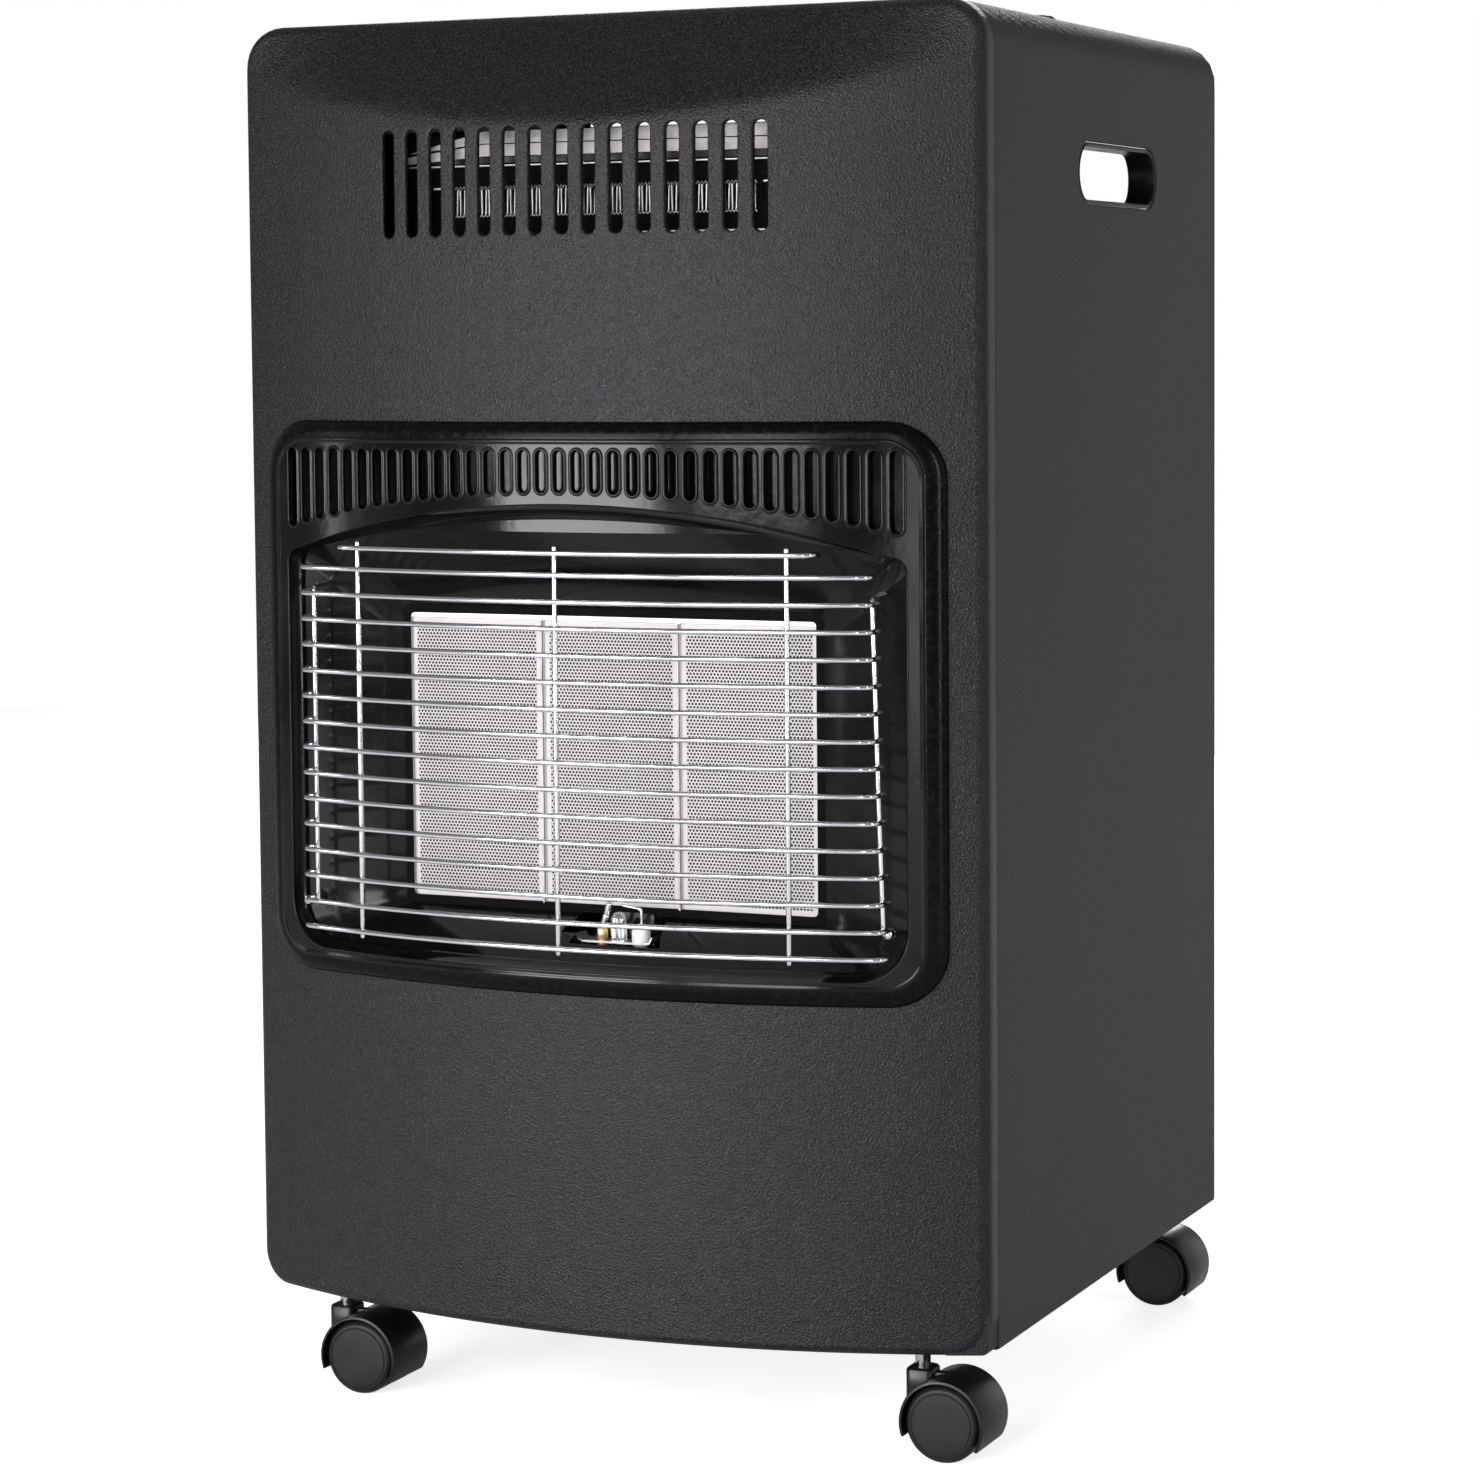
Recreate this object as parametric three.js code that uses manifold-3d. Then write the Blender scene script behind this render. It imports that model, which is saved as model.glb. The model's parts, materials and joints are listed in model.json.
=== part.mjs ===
// A portable gas cabinet heater: a bowed steel cabinet on four twin-wheel casters, with three
// radiant ceramic burners behind a wire guard and room for a gas bottle behind them.
// Millimetres, +Z up, the front faces -Y, and the origin is on the floor under the middle.
import * as THREE from "three";
import { mergeVertices } from "three/addons/utils/BufferGeometryUtils.js";
import Module from "manifold-3d";

// ---------------------------------------------------------------- driving dimensions
const cabinetWidth = 420;
const cabinetHeight = 675; // the sheet-metal part, without the casters
const wrapDepth = 365; // the folded side-and-top sheet, front edge to rear edge
const floorGap = 57.5; // floor to the underside of the cabinet
const sheet = 1.2; // steel sheet thickness
const fit = 0.3; // assembly gap between two pieces that touch
const running = 0.3; // radial clearance of a turning or sliding pin

const panelStep = 14; // side flange of the front panel, ahead of the wrap
const panelBow = 44; // how far the front panel bows out at its middle
const topCornerRadius = 22;
const bottomCornerRadius = 28;
const panelEdgeRadius = 5; // rounding of the panel's upright edges
const panelFlange = 14; // bottom flange behind the bowed skin
const creaseDrop = 56.3; // top edge to the crease of the leaning facet, at the middle
const creaseEndDrop = 25; // the same at the panel's sides

const ventCount = 15;
const ventPitch = 14.94;
const ventWidth = 7;
const ventHeight = 54.5;
const ventDrop = 58.8; // top edge to the top of the vents

const bezelHalfWidth = cabinetWidth / 2 - 17;
const bezelDrop = 207.5;
const bezelCornerRadius = 30;
const bezelProud = 5.6;
const bezelBevel = 3.6;
const bezelOverlap = 17; // how far the bezel covers the panel beside its window
const bezelSlotCount = 35;
const bezelSlotWidth = 6;
const bezelSlotDrop = bezelDrop + 14.4;
const bezelSlotShort = 21; // height of the middle slot
const bezelSlotLong = 41; // height of the outermost slots

const mouthHalfWidth = bezelHalfWidth - 21; // the burner opening in the bezel
const mouthDrop = bezelDrop + 49.5; // top edge of the cabinet to the opening's arch, at the middle
const mouthArchFall = 18; // how much lower the arch is at the opening's sides
const mouthHeight = 225.5;
const mouthSill = 16.5; // bezel below the opening
const bezelHeight = mouthDrop - bezelDrop + mouthHeight + mouthSill;
const bezelSlotPitch = (2 * mouthHalfWidth - 1.3) / (bezelSlotCount - 1);
const mouthCornerRadius = 20;
const mouthCollar = 6; // depth of the collar round the opening
const browRise = 8; // height of the raised bead over the arch
const browProud = 3;

const burnerSetback = 50; // front of the bow to the face of the burner frame
const plaqueCount = 3;
const reflectorRun = 54.4; // how far each side wall of the reflector comes in
const reflectorRoof = 51.5; // arch of the opening down to the plaques
const reflectorFloor = 22; // plaques down to the bottom of the opening
const plaquePitch = (2 * (mouthHalfWidth - reflectorRun)) / plaqueCount;
const plaqueWidth = plaquePitch - 0.4;
const plaqueHeight = mouthHeight - reflectorRoof - reflectorFloor;
const plaqueThickness = 12;
const plaqueDrop = mouthDrop + reflectorRoof;
const plaqueLip = 3.5; // frame edge that covers the plaque's top and bottom
const plaqueDivider = 2.9;
const frameBorder = 5; // burner frame round the plaques
const funnelBorder = 1.5; // burner frame round the reflector's rear edge
const burnerBodyDepth = 16;
const venturiRadius = 9;
const venturiMouthRadius = 12;
const venturiDrop = mouthDrop + mouthHeight + 7.5; // the air mouths under the burners
const venturiRise = 150;
const venturiBore = 7;
const yokeHeight = 11;
const yokePlate = 2;

const wireDiameter = 2.8;
const guardProud = 14; // guard wires ahead of the bow
const guardHalfWidth = mouthHalfWidth - 11;
const guardTopReturn = 13; // how far the short top wire's ends bend back
const guardCornerTrim = 3; // the highest and lowest wires stop short of the mouth's round corners
const guardBend = 7;
const guardRows = 15;
const guardRoof = 27; // arch of the opening down to the second wire
const guardFloor = 9.5; // lowest wire down to the bottom of the opening
const guardPitch = (mouthHeight - guardRoof - guardFloor) / (guardRows - 1);
const guardDrop = mouthDrop + guardRoof;
const guardTopGap = 11; // from the short top wire to the second one
const guardTopInset = 24; // how much shorter the top wire is at each end
const guardUprightX = guardHalfWidth - 40;

const handleLength = 130;
const handleHeight = 33;
const handleDrop = 81.2; // top edge to the middle of the hand hole
const handleBack = 191; // front edge of the wrap to the middle of the hand hole
const linerDepth = 16;
const linerWall = 2;
const linerFlange = 6;

const rearFlange = 18; // the wrap's rear edges, folded in
const trayWallHeight = 20;
const coverHeight = 505;
const coverOverlap = 8; // cover beyond the cabinet's rear window, each side
const coverLift = 4; // underside of the cabinet to the cover's bottom edge
const coverField = 5; // depth of the pressed field in the cover
const coverFieldInset = 35; // cover's edge to the field
const coverTravelTongue = 12;

const wellWidth = 168; // the sunk control panel in the top
const wellLength = 84;
const wellDepth = 16;
const wellRadius = 14;
const wellFlange = 8;
const wellWall = 1.5;
const wellMiddleX = cabinetWidth / 2 - 122;
const wellBack = 80; // rear edge of the wrap to the middle of the well

const knobX = wellMiddleX + 36;
const knobRadius = 21;
const knobHeight = 22;
const knobLift = 8; // the knob's underside above the well's floor
const knobTravel = 5;
const knobFlutes = 14;
const spindleRadius = 4;
const spindleLength = 38;
const buttonX = wellMiddleX - 42;
const buttonRadius = 7.7;
const buttonProud = 5;
const buttonTravel = 5;

const casterX = cabinetWidth / 2 - 42;
const casterFrontInset = 3; // front edge of the wrap to the front stems
const casterRearInset = 20;
const casterTrail = 16.4; // stem to wheel axle
const casterWidth = 38;
const wheelRadius = 20;
const wheelWidth = 15;
const hoodRadius = 22.7;
const hoodWall = 1.5;
const hoodTop = 47;
const stemRadius = 4;
const axleRadius = 2.5;

const supplyRadius = 4;
const pilotPipeRadius = 2;
const capillaryRadius = 1.2;
const leadRadius = 1.8;
const manifoldRadius = 6;

// ---------------------------------------------------------------- places worked out from them
const halfWidth = cabinetWidth / 2;
const zBase = floorGap;
const zTop = floorGap + cabinetHeight;
const coverStand = fit + sheet; // the rear cover lies behind the wrap
const overallDepth = wrapDepth + panelStep + panelBow + guardProud + wireDiameter / 2 + coverStand;
const yWrapRear = overallDepth / 2 - coverStand;
const yWrapFront = yWrapRear - wrapDepth;
const yPanelCorner = yWrapFront - panelStep;
const yPanelFront = yPanelCorner - panelBow;
const bowRadius = (halfWidth ** 2 + panelBow ** 2) / (2 * panelBow);
const yBowCentre = yPanelFront + bowRadius;
const yBurner = yPanelFront + burnerSetback;
const yPlaque = yBurner + sheet + fit;
const yBody = yPlaque + plaqueThickness + fit;
const yVenturi = yBody + burnerBodyDepth + venturiRadius - 1;
const yShield = yVenturi + venturiMouthRadius + 4;
const zTray = zBase + sheet + fit;
const knobY = yWrapRear - wellBack;
const zWellFloor = zTop - wellDepth; // upper face of the well's floor
const zWellUnder = zWellFloor - wellWall;

/** Height of a point that lies the given distance below the cabinet's top. */
const down = (drop) => zTop - drop;

/** Y of the bowed front at x, moved outwards (towards the viewer) by the given amount. */
const bowY = (x, outwards = 0) => yBowCentre - Math.sqrt((bowRadius + outwards) ** 2 - x * x);

// ---------------------------------------------------------------- solids: make, join and cut
const wasm = await Module();
wasm.setup();

/** A closed geometry as a manifold solid, facing out. */
function solid(geometry) {
  const plain = geometry.clone();
  plain.deleteAttribute("normal");
  plain.deleteAttribute("uv");
  const merged = mergeVertices(plain, 1e-4);
  const vertProperties = merged.attributes.position.array;
  const triVerts = new Uint32Array(merged.index.array);
  const made = new wasm.Manifold(new wasm.Mesh({ numProp: 3, vertProperties, triVerts }));
  if (made.volume() > 0) return made;
  for (let i = 0; i < triVerts.length; i += 3) {
    [triVerts[i + 1], triVerts[i + 2]] = [triVerts[i + 2], triVerts[i + 1]];
  }
  return new wasm.Manifold(new wasm.Mesh({ numProp: 3, vertProperties, triVerts }));
}

const join = (...solids) => solids.reduce((whole, part) => whole.add(part));
const cut = (from, ...tools) => tools.reduce((whole, tool) => whole.subtract(tool), from);

/** The triangles of a solid as a geometry with flat normals. */
function geometryOf(made) {
  const mesh = made.getMesh();
  const geometry = new THREE.BufferGeometry();
  geometry.setAttribute("position", new THREE.BufferAttribute(mesh.vertProperties, 3));
  geometry.setIndex(new THREE.BufferAttribute(mesh.triVerts, 1));
  const flat = geometry.toNonIndexed();
  flat.computeVertexNormals();
  return flat;
}

// ---------------------------------------------------------------- shapes
const X = new THREE.Vector3(1, 0, 0);
const Y = new THREE.Vector3(0, 1, 0);
const Z = new THREE.Vector3(0, 0, 1);
const point = (x, y, z) => new THREE.Vector3(x, y, z);

/** A polygon from [a, b] pairs. */
const polygon = (pairs) => new THREE.Shape(pairs.map(([a, b]) => new THREE.Vector2(a, b)));

/** A rectangle with round corners, centred on (a, b). */
function roundedRectangle(a, b, width, height, radius) {
  const r = Math.min(radius, width / 2 - 0.01, height / 2 - 0.01);
  const [l, t, w, h] = [a - width / 2, b + height / 2, width / 2 - r, height / 2 - r];
  const shape = new THREE.Shape();
  shape.moveTo(l + r, t);
  shape.lineTo(a + w, t);
  shape.absarc(a + w, b + h, r, Math.PI / 2, 0, true);
  shape.absarc(a + w, b - h, r, 0, -Math.PI / 2, true);
  shape.absarc(a - w, b - h, r, -Math.PI / 2, -Math.PI, true);
  shape.absarc(a - w, b + h, r, Math.PI, Math.PI / 2, true);
  return shape;
}

const circle = (a, b, radius) => new THREE.Shape().absarc(a, b, radius, 0, 2 * Math.PI, false);

/** A shape extruded along x, y or z between two places; its own axes are the other two, in order. */
function prism(shape, axis, from, to, curveSegments = 6) {
  const options = { depth: to - from, bevelEnabled: false, curveSegments, steps: 1 };
  const geometry = new THREE.ExtrudeGeometry(shape, options);
  const turn = new THREE.Matrix4();
  if (axis === "x") turn.makeBasis(Y, Z, X).setPosition(from, 0, 0);
  if (axis === "y") turn.makeBasis(X, Z, Y.clone().negate()).setPosition(0, to, 0);
  if (axis === "z") turn.setPosition(0, 0, from);
  return solid(geometry.applyMatrix4(turn));
}

/** Outline of a folded sheet: a line of [a, b] pairs thickened on its left-hand side. */
function folded(pairs, thickness) {
  const line = pairs.map(([a, b]) => new THREE.Vector2(a, b));
  const side = line.map((p, i) => {
    const into = p.clone().sub(line[Math.max(i - 1, 0)]).normalize();
    const out = line[Math.min(i + 1, line.length - 1)].clone().sub(p).normalize();
    const along = into.clone().add(out).normalize();
    const reach = thickness / (i > 0 && i < line.length - 1 ? along.dot(into) : 1);
    return new THREE.Vector2(p.x - along.y * reach, p.y + along.x * reach);
  });
  return new THREE.Shape([...line, ...side.reverse()]);
}

/** A box between two corners. */
function block([x0, y0, z0], [x1, y1, z1]) {
  const geometry = new THREE.BoxGeometry(x1 - x0, y1 - y0, z1 - z0);
  return solid(geometry.translate((x0 + x1) / 2, (y0 + y1) / 2, (z0 + z1) / 2));
}

/** A turned solid: [radius, distance] pairs from axis to axis, along an axis through a place. */
function turned(pairs, axis, place, segments = 16) {
  const profile = pairs.map(([r, d]) => new THREE.Vector2(r, d));
  const turn = new THREE.Matrix4();
  if (axis === "x") turn.makeBasis(Z, X, Y);
  if (axis === "z") turn.makeBasis(Y, Z, X);
  turn.setPosition(place);
  return solid(new THREE.LatheGeometry(profile, segments).applyMatrix4(turn));
}

/** A plain pin, bore or boss along an axis, from a place. */
function rod(radius, length, axis, place, segments = 12) {
  return turned([[0, 0], [radius, 0], [radius, length], [0, length]], axis, place, segments);
}

/** A closed skin over rings of points; the last ring joins the first when wrapped. */
function skin(rings, wrapped = false) {
  const count = rings[0].length;
  const positions = rings.flat().flatMap((p) => [p.x, p.y, p.z]);
  const index = [];
  const rows = wrapped ? rings.length : rings.length - 1;
  for (let row = 0; row < rows; row += 1) {
    const [a, b] = [row * count, ((row + 1) % rings.length) * count];
    for (let i = 0; i < count; i += 1) {
      const j = (i + 1) % count;
      index.push(a + i, a + j, b + i, a + j, b + j, b + i);
    }
  }
  if (!wrapped) {
    const outline = rings[0].map((p) => new THREE.Vector2(p.y, p.z));
    const first = THREE.ShapeUtils.isClockWise(outline) ? 0 : (rings.length - 1) * count;
    const last = (rings.length - 1) * count - first;
    for (const [i, j, k] of THREE.ShapeUtils.triangulateShape(outline, [])) {
      index.push(first + i, first + j, first + k, last + i, last + k, last + j);
    }
  }
  const geometry = new THREE.BufferGeometry();
  geometry.setAttribute("position", new THREE.Float32BufferAttribute(positions, 3));
  geometry.setIndex(index);
  return solid(geometry);
}

/** A path that an extrusion samples at exactly its own points. */
class PointPath extends THREE.Curve {
  constructor(points) {
    super();
    this.points = points;
  }
  getPoint(t) {
    const s = t * (this.points.length - 1);
    const i = Math.min(Math.floor(s + 1e-9), this.points.length - 2);
    return this.points[i].clone().lerp(this.points[i + 1], s - i);
  }
  getPointAt(t) {
    return this.getPoint(t);
  }
  getTangentAt(t) {
    const i = Math.round(t * (this.points.length - 1));
    const before = this.points[Math.max(i - 1, 0)];
    const after = this.points[Math.min(i + 1, this.points.length - 1)];
    return after.clone().sub(before).normalize();
  }
}

/** Corner points with each inner corner rounded to the bend radius. */
function bent(corners, radius, steps = 3) {
  const path = [corners[0]];
  for (let i = 1; i < corners.length - 1; i += 1) {
    const into = corners[i].clone().sub(corners[i - 1]);
    const out = corners[i + 1].clone().sub(corners[i]);
    const angle = into.angleTo(out);
    const reach = Math.min(radius * Math.tan(angle / 2), into.length() / 2.1, out.length() / 2.1);
    const start = corners[i].clone().addScaledVector(into.normalize(), -reach);
    const end = corners[i].clone().addScaledVector(out.normalize(), reach);
    const bend = new THREE.QuadraticBezierCurve3(start, corners[i], end);
    path.push(...bend.getPoints(steps));
  }
  path.push(corners[corners.length - 1]);
  return path;
}

/** A round wire, pipe or lead along a path of points. */
function wire(points, radius, sides = 6) {
  const ring = Array.from({ length: sides }, (_, i) => {
    const angle = ((i + 0.5) * 2 * Math.PI) / sides;
    return new THREE.Vector2(radius * Math.cos(angle), radius * Math.sin(angle));
  });
  const extrudePath = new PointPath(points);
  const options = { steps: points.length - 1, extrudePath, bevelEnabled: false };
  return solid(new THREE.ExtrudeGeometry(new THREE.Shape(ring), options));
}

// ---------------------------------------------------------------- the assembly
const heater = new THREE.Group();

const finish = (color, roughness, metalness) =>
  new THREE.MeshStandardMaterial({ color, roughness, metalness });
const texturedBlack = finish(0x2b2a2d, 0.62, 0.1);
const glossEnamel = finish(0x0d0d0f, 0.12, 0.0);
const galvanised = finish(0xb7bcc0, 0.4, 0.9);
const brightChrome = finish(0xd8dadc, 0.12, 1.0);
const brass = finish(0xb8954a, 0.3, 1.0);
const copper = finish(0xa9643f, 0.35, 1.0);
const ceramic = finish(0xcfc4b2, 0.9, 0.0);
const whiteCeramic = finish(0xf1efe8, 0.35, 0.0);
const blackPlastic = finish(0x151516, 0.4, 0.0);
const castAlloy = finish(0x9a9c9e, 0.5, 0.8);
const burnerSteel = finish(0x5c5a58, 0.5, 0.8);
const redPlastic = finish(0xb3211c, 0.35, 0.0);
const silicone = finish(0x202124, 0.6, 0.0);

/** Adds one named piece to the assembly. */
function add(name, made, material, parent = heater) {
  const mesh = new THREE.Mesh(geometryOf(made), material);
  mesh.name = name;
  parent.add(mesh);
  return mesh;
}

// ---------------------------------------------------------------- front panel
/** Stations across a width, closer together over the round corners at its two ends. */
function stations(half, corner, flatSteps, cornerSteps) {
  const flat = half - corner;
  const right = Array.from({ length: cornerSteps }, (_, i) => {
    const angle = ((i + 1) / cornerSteps) * (Math.PI / 2);
    return flat + corner * Math.sin(angle);
  });
  const middle = Array.from({ length: flatSteps + 1 }, (_, i) => flat * ((2 * i) / flatSteps - 1));
  return [...right.map((x) => -x).reverse(), ...middle, ...right];
}

/** How far a quarter-round of the given radius has fallen at x, where it ends at half. */
function roundFall(x, half, radius) {
  const over = Math.max(Math.abs(x) - (half - radius), 0);
  return radius - Math.sqrt(Math.max(radius ** 2 - over ** 2, 0));
}

/** Drop of the leaning facet's crease at x: lowest in the middle, higher at the sides. */
const creaseAt = (x) => creaseDrop + (creaseEndDrop - creaseDrop) * (x / halfWidth) ** 2;

/** The panel's outer form, or the hollow inside it when inset by the sheet's thickness. */
function panelForm(inset, yBack) {
  const half = halfWidth - inset;
  const rings = stations(half, bottomCornerRadius - inset, 18, 5).map((x) => {
    const edge = roundFall(x, half, panelEdgeRadius - inset / 2);
    const top = zTop - inset - roundFall(x, half, topCornerRadius - inset);
    const bottom = zBase + inset + roundFall(x, half, bottomCornerRadius - inset);
    const front = Math.min(bowY(x, -inset) + edge, yBack - 0.5);
    const lip = Math.min(yPanelCorner + inset + edge, yBack - 0.5);
    const crease = Math.min(down(creaseAt(x)) - inset * 0.6, top - 1);
    return [
      point(x, yBack, bottom),
      point(x, front, bottom),
      point(x, front, crease),
      point(x, lip, top),
      point(x, yBack, top),
    ];
  });
  return skin(rings);
}

/** Plan outline that follows the bowed front, inset from the panel's outer face. */
function bowedPlan(inset, yBack, half = halfWidth - inset) {
  const steps = 16;
  const front = Array.from({ length: steps + 1 }, (_, i) => {
    const x = half * ((2 * i) / steps - 1);
    return [x, bowY(x, -inset)];
  });
  return polygon([...front, [half, yBack], [-half, yBack]]);
}

function ventSlots() {
  const slots = [];
  for (let i = 0; i < ventCount; i += 1) {
    const x = (i - (ventCount - 1) / 2) * ventPitch;
    const z = down(ventDrop + ventHeight / 2);
    const slot = roundedRectangle(x, z, ventWidth, ventHeight, ventWidth / 2);
    slots.push(prism(slot, "y", yPanelFront - 5, yPanelFront + 40, 1));
  }
  return slots;
}

function windowShape() {
  const [top, bottom] = [bezelDrop + 7, bezelDrop + bezelHeight - 9];
  const half = bezelHalfWidth - bezelOverlap;
  return roundedRectangle(0, down((top + bottom) / 2), 2 * half, bottom - top, 16);
}

function frontPanel() {
  const yBack = yWrapFront - fit;
  const shell = cut(panelForm(0, yBack), panelForm(sheet, yBack + 5));
  const underFlange = prism(bowedPlan(panelFlange, yBack + 5, halfWidth - sheet), "z", zBase - 1, zBase + 5);
  const window = prism(windowShape(), "y", yPanelFront - 5, yBack + 1, 2);
  return cut(shell, underFlange, window, ...ventSlots());
}

// ---------------------------------------------------------------- cabinet wrap and its fittings
/** Arch outline of the wrap in X and Z, inset from its outer face; open at the bottom. */
function wrapOutline(inset) {
  const half = halfWidth - inset;
  const r = topCornerRadius - inset;
  const top = zTop - inset;
  const shape = new THREE.Shape();
  shape.moveTo(-half, zBase - (inset > 0 ? 1 : 0));
  shape.lineTo(half, zBase - (inset > 0 ? 1 : 0));
  shape.lineTo(half, top - r);
  shape.absarc(half - r, top - r, r, 0, Math.PI / 2, false);
  shape.absarc(-half + r, top - r, r, Math.PI / 2, Math.PI, false);
  return shape;
}

const handleY = yWrapFront + handleBack;
const handleZ = down(handleDrop);
const handleShape = (grow) =>
  roundedRectangle(handleY, handleZ, handleLength + 2 * grow, handleHeight + 2 * grow, halfWidth);

/** Rear cover stud places in the wrap's folded rear edges. */
const studX = halfWidth - rearFlange + coverOverlap / 2;
const studZ = zBase + coverLift + coverHeight - 20;

function cabinetWrap() {
  const body = prism(wrapOutline(0), "y", yWrapFront, yWrapRear, 3);
  const hollow = prism(wrapOutline(sheet), "y", yWrapFront - 1, yWrapRear - sheet, 3);
  const windowTop = zTop - rearFlange;
  const rearWindow = block(
    [-halfWidth + rearFlange, yWrapRear - 5, zBase - 1],
    [halfWidth - rearFlange, yWrapRear + 5, windowTop],
  );
  const hands = prism(handleShape(0), "x", -halfWidth - 5, halfWidth + 5, 3);
  const well = roundedRectangle(wellMiddleX, knobY, wellWidth, wellLength, wellRadius);
  const wellHole = prism(well, "z", zTop - 5, zTop + 5, 2);
  const studHoles = [-studX, studX].map((x) =>
    rod(coverStudRadius + running, 10, "y", point(x, yWrapRear - 5, studZ), 10),
  );
  return cut(body, hollow, rearWindow, hands, wellHole, ...studHoles);
}

function handleLiner(side) {
  const outer = side * halfWidth;
  const inner = side * (halfWidth - linerDepth);
  const span = [Math.min(outer, inner), Math.max(outer, inner)];
  const seat = side * (halfWidth - sheet - fit);
  const brim = [Math.min(seat, seat - side * linerWall), Math.max(seat, seat - side * linerWall)];
  const tube = prism(handleShape(-fit), "x", ...span, 3);
  const flange = prism(handleShape(linerFlange), "x", ...brim, 3);
  const hand = prism(handleShape(-fit - linerWall), "x", span[0] - 1, span[1] + 1, 3);
  return cut(join(tube, flange), hand);
}

/** The room inside the cabinet, at the given distance from the outer faces. */
function insideForm(inset) {
  const half = halfWidth - inset;
  const rear = block([-half, yWrapFront, zBase], [half, yWrapRear - inset, zTop - inset]);
  return join(panelForm(inset, yWrapFront + 1), rear);
}

function baseTray() {
  const slab = (z0, z1) => block([-halfWidth, yPanelFront, z0], [halfWidth, yWrapRear, z1]);
  const outer = insideForm(sheet + fit).intersect(slab(zTray, zTray + trayWallHeight));
  const room = insideForm(2 * sheet + fit).intersect(slab(zTray + sheet, zTray + trayWallHeight + 1));
  const holes = casterPlaces.map(({ x, y }) =>
    rod(stemRadius + running, 10, "z", point(x, y, zTray - 5), 10),
  );
  return cut(outer, room, ...holes);
}

// ---------------------------------------------------------------- rear cover
const coverStudRadius = 2;
const coverHalf = halfWidth - rearFlange + coverOverlap;
const zCover = zBase + coverLift;

function louvreSlots(y0, y1) {
  const slots = [];
  for (const side of [-1, 1]) {
    for (let row = 0; row < 6; row += 1) {
      const z = zCover + 120 + row * 26;
      slots.push(prism(roundedRectangle(side * 85, z, 90, 6, 3), "y", y0, y1, 1));
    }
  }
  return slots;
}

function rearCover() {
  const [y0, y1] = [yWrapRear + fit, yWrapRear + fit + sheet];
  const middle = zCover + coverHeight / 2;
  const plate = prism(roundedRectangle(0, middle, 2 * coverHalf, coverHeight, 8), "y", y0, y1, 1);
  const field = (inset) =>
    roundedRectangle(
      0, middle - coverFieldInset / 2,
      2 * (coverHalf - coverFieldInset - inset), coverHeight - 3.5 * coverFieldInset - 2 * inset,
      18 - inset,
    );
  const pan = prism(field(0), "y", y0 - coverField, y1, 2);
  const dish = prism(field(sheet), "y", y0 - coverField + sheet, y1 + 1, 2);
  const pull = roundedRectangle(0, zCover + coverHeight - coverFieldInset, 110, 24, 12);
  const tongues = [-1, 1].map((side) =>
    block(
      [side * 120 - 16, y0 - coverTravelTongue, zTray + trayWallHeight + fit],
      [side * 120 + 16, y0 + 0.1, zTray + trayWallHeight + fit + sheet],
    ),
  );
  const studs = [-studX, studX].map((x) => rod(coverStudRadius, 8, "y", point(x, y0 - 7.9, studZ), 10));
  const body = cut(join(plate, pan), dish, prism(pull, "y", y0 - 5, y1 + 5, 2));
  return join(cut(body, ...louvreSlots(y0 - 9, y1 + 2)), ...tongues, ...studs);
}

// ---------------------------------------------------------------- bezel, reflector and burner frame
/** Drop of the burner opening's arch at x. */
const archAt = (x) => mouthDrop + mouthArchFall * (x / mouthHalfWidth) ** 2;

/** Outline of the burner opening in X and Z, anticlockwise, grown by the given amount. */
function mouthOutline(grow) {
  const half = mouthHalfWidth + grow;
  const bottom = down(mouthDrop + mouthHeight) - grow;
  const r = mouthCornerRadius + grow;
  const archSteps = 10;
  const cornerSteps = 4;
  const shoulder = 10;
  const outline = [];
  for (let i = 0; i <= cornerSteps; i += 1) {
    const angle = (i / cornerSteps) * (Math.PI / 2);
    outline.push([-half + r - r * Math.cos(angle), bottom + r - r * Math.sin(angle)]);
  }
  const bottomCorner = outline.map(([x, z]) => [-x, z]).reverse();
  for (let i = 1; i < archSteps; i += 1) {
    outline.push([(half - r) * ((2 * i) / archSteps - 1), bottom]);
  }
  outline.push(...bottomCorner);
  const top = (x) => down(archAt(x)) + grow;
  outline.push([half, top(half) - shoulder], [half - shoulder * 0.3, top(half) - shoulder * 0.3]);
  for (let i = 0; i <= archSteps; i += 1) {
    const x = (half - shoulder) * (1 - (2 * i) / archSteps);
    outline.push([x, top(x)]);
  }
  outline.push([-half + shoulder * 0.3, top(half) - shoulder * 0.3], [-half, top(half) - shoulder]);
  return outline;
}

/** The bezel's outer form, or its hollow when inset: a rounded, bevelled pad on the bow. */
function bezelForm(inset, backOut) {
  const half = bezelHalfWidth - inset;
  const r = bezelCornerRadius - inset;
  const top = down(bezelDrop) - inset;
  const bottom = down(bezelDrop + bezelHeight) + inset;
  const rings = stations(half, r, 16, 5).map((x) => {
    const fall = roundFall(x, half, r);
    const edge = roundFall(x, half, bezelBevel) * 0.9;
    const back = bowY(x, backOut);
    const face = bowY(x, bezelProud - inset) + edge;
    const shoulder = bowY(x, bezelProud - inset - bezelBevel) + edge * 0.2;
    return [
      point(x, back, bottom + fall),
      point(x, shoulder, bottom + fall),
      point(x, face, bottom + fall + bezelBevel),
      point(x, face, top - fall - bezelBevel),
      point(x, shoulder, top - fall),
      point(x, back, top - fall),
    ];
  });
  return skin(rings);
}

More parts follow.
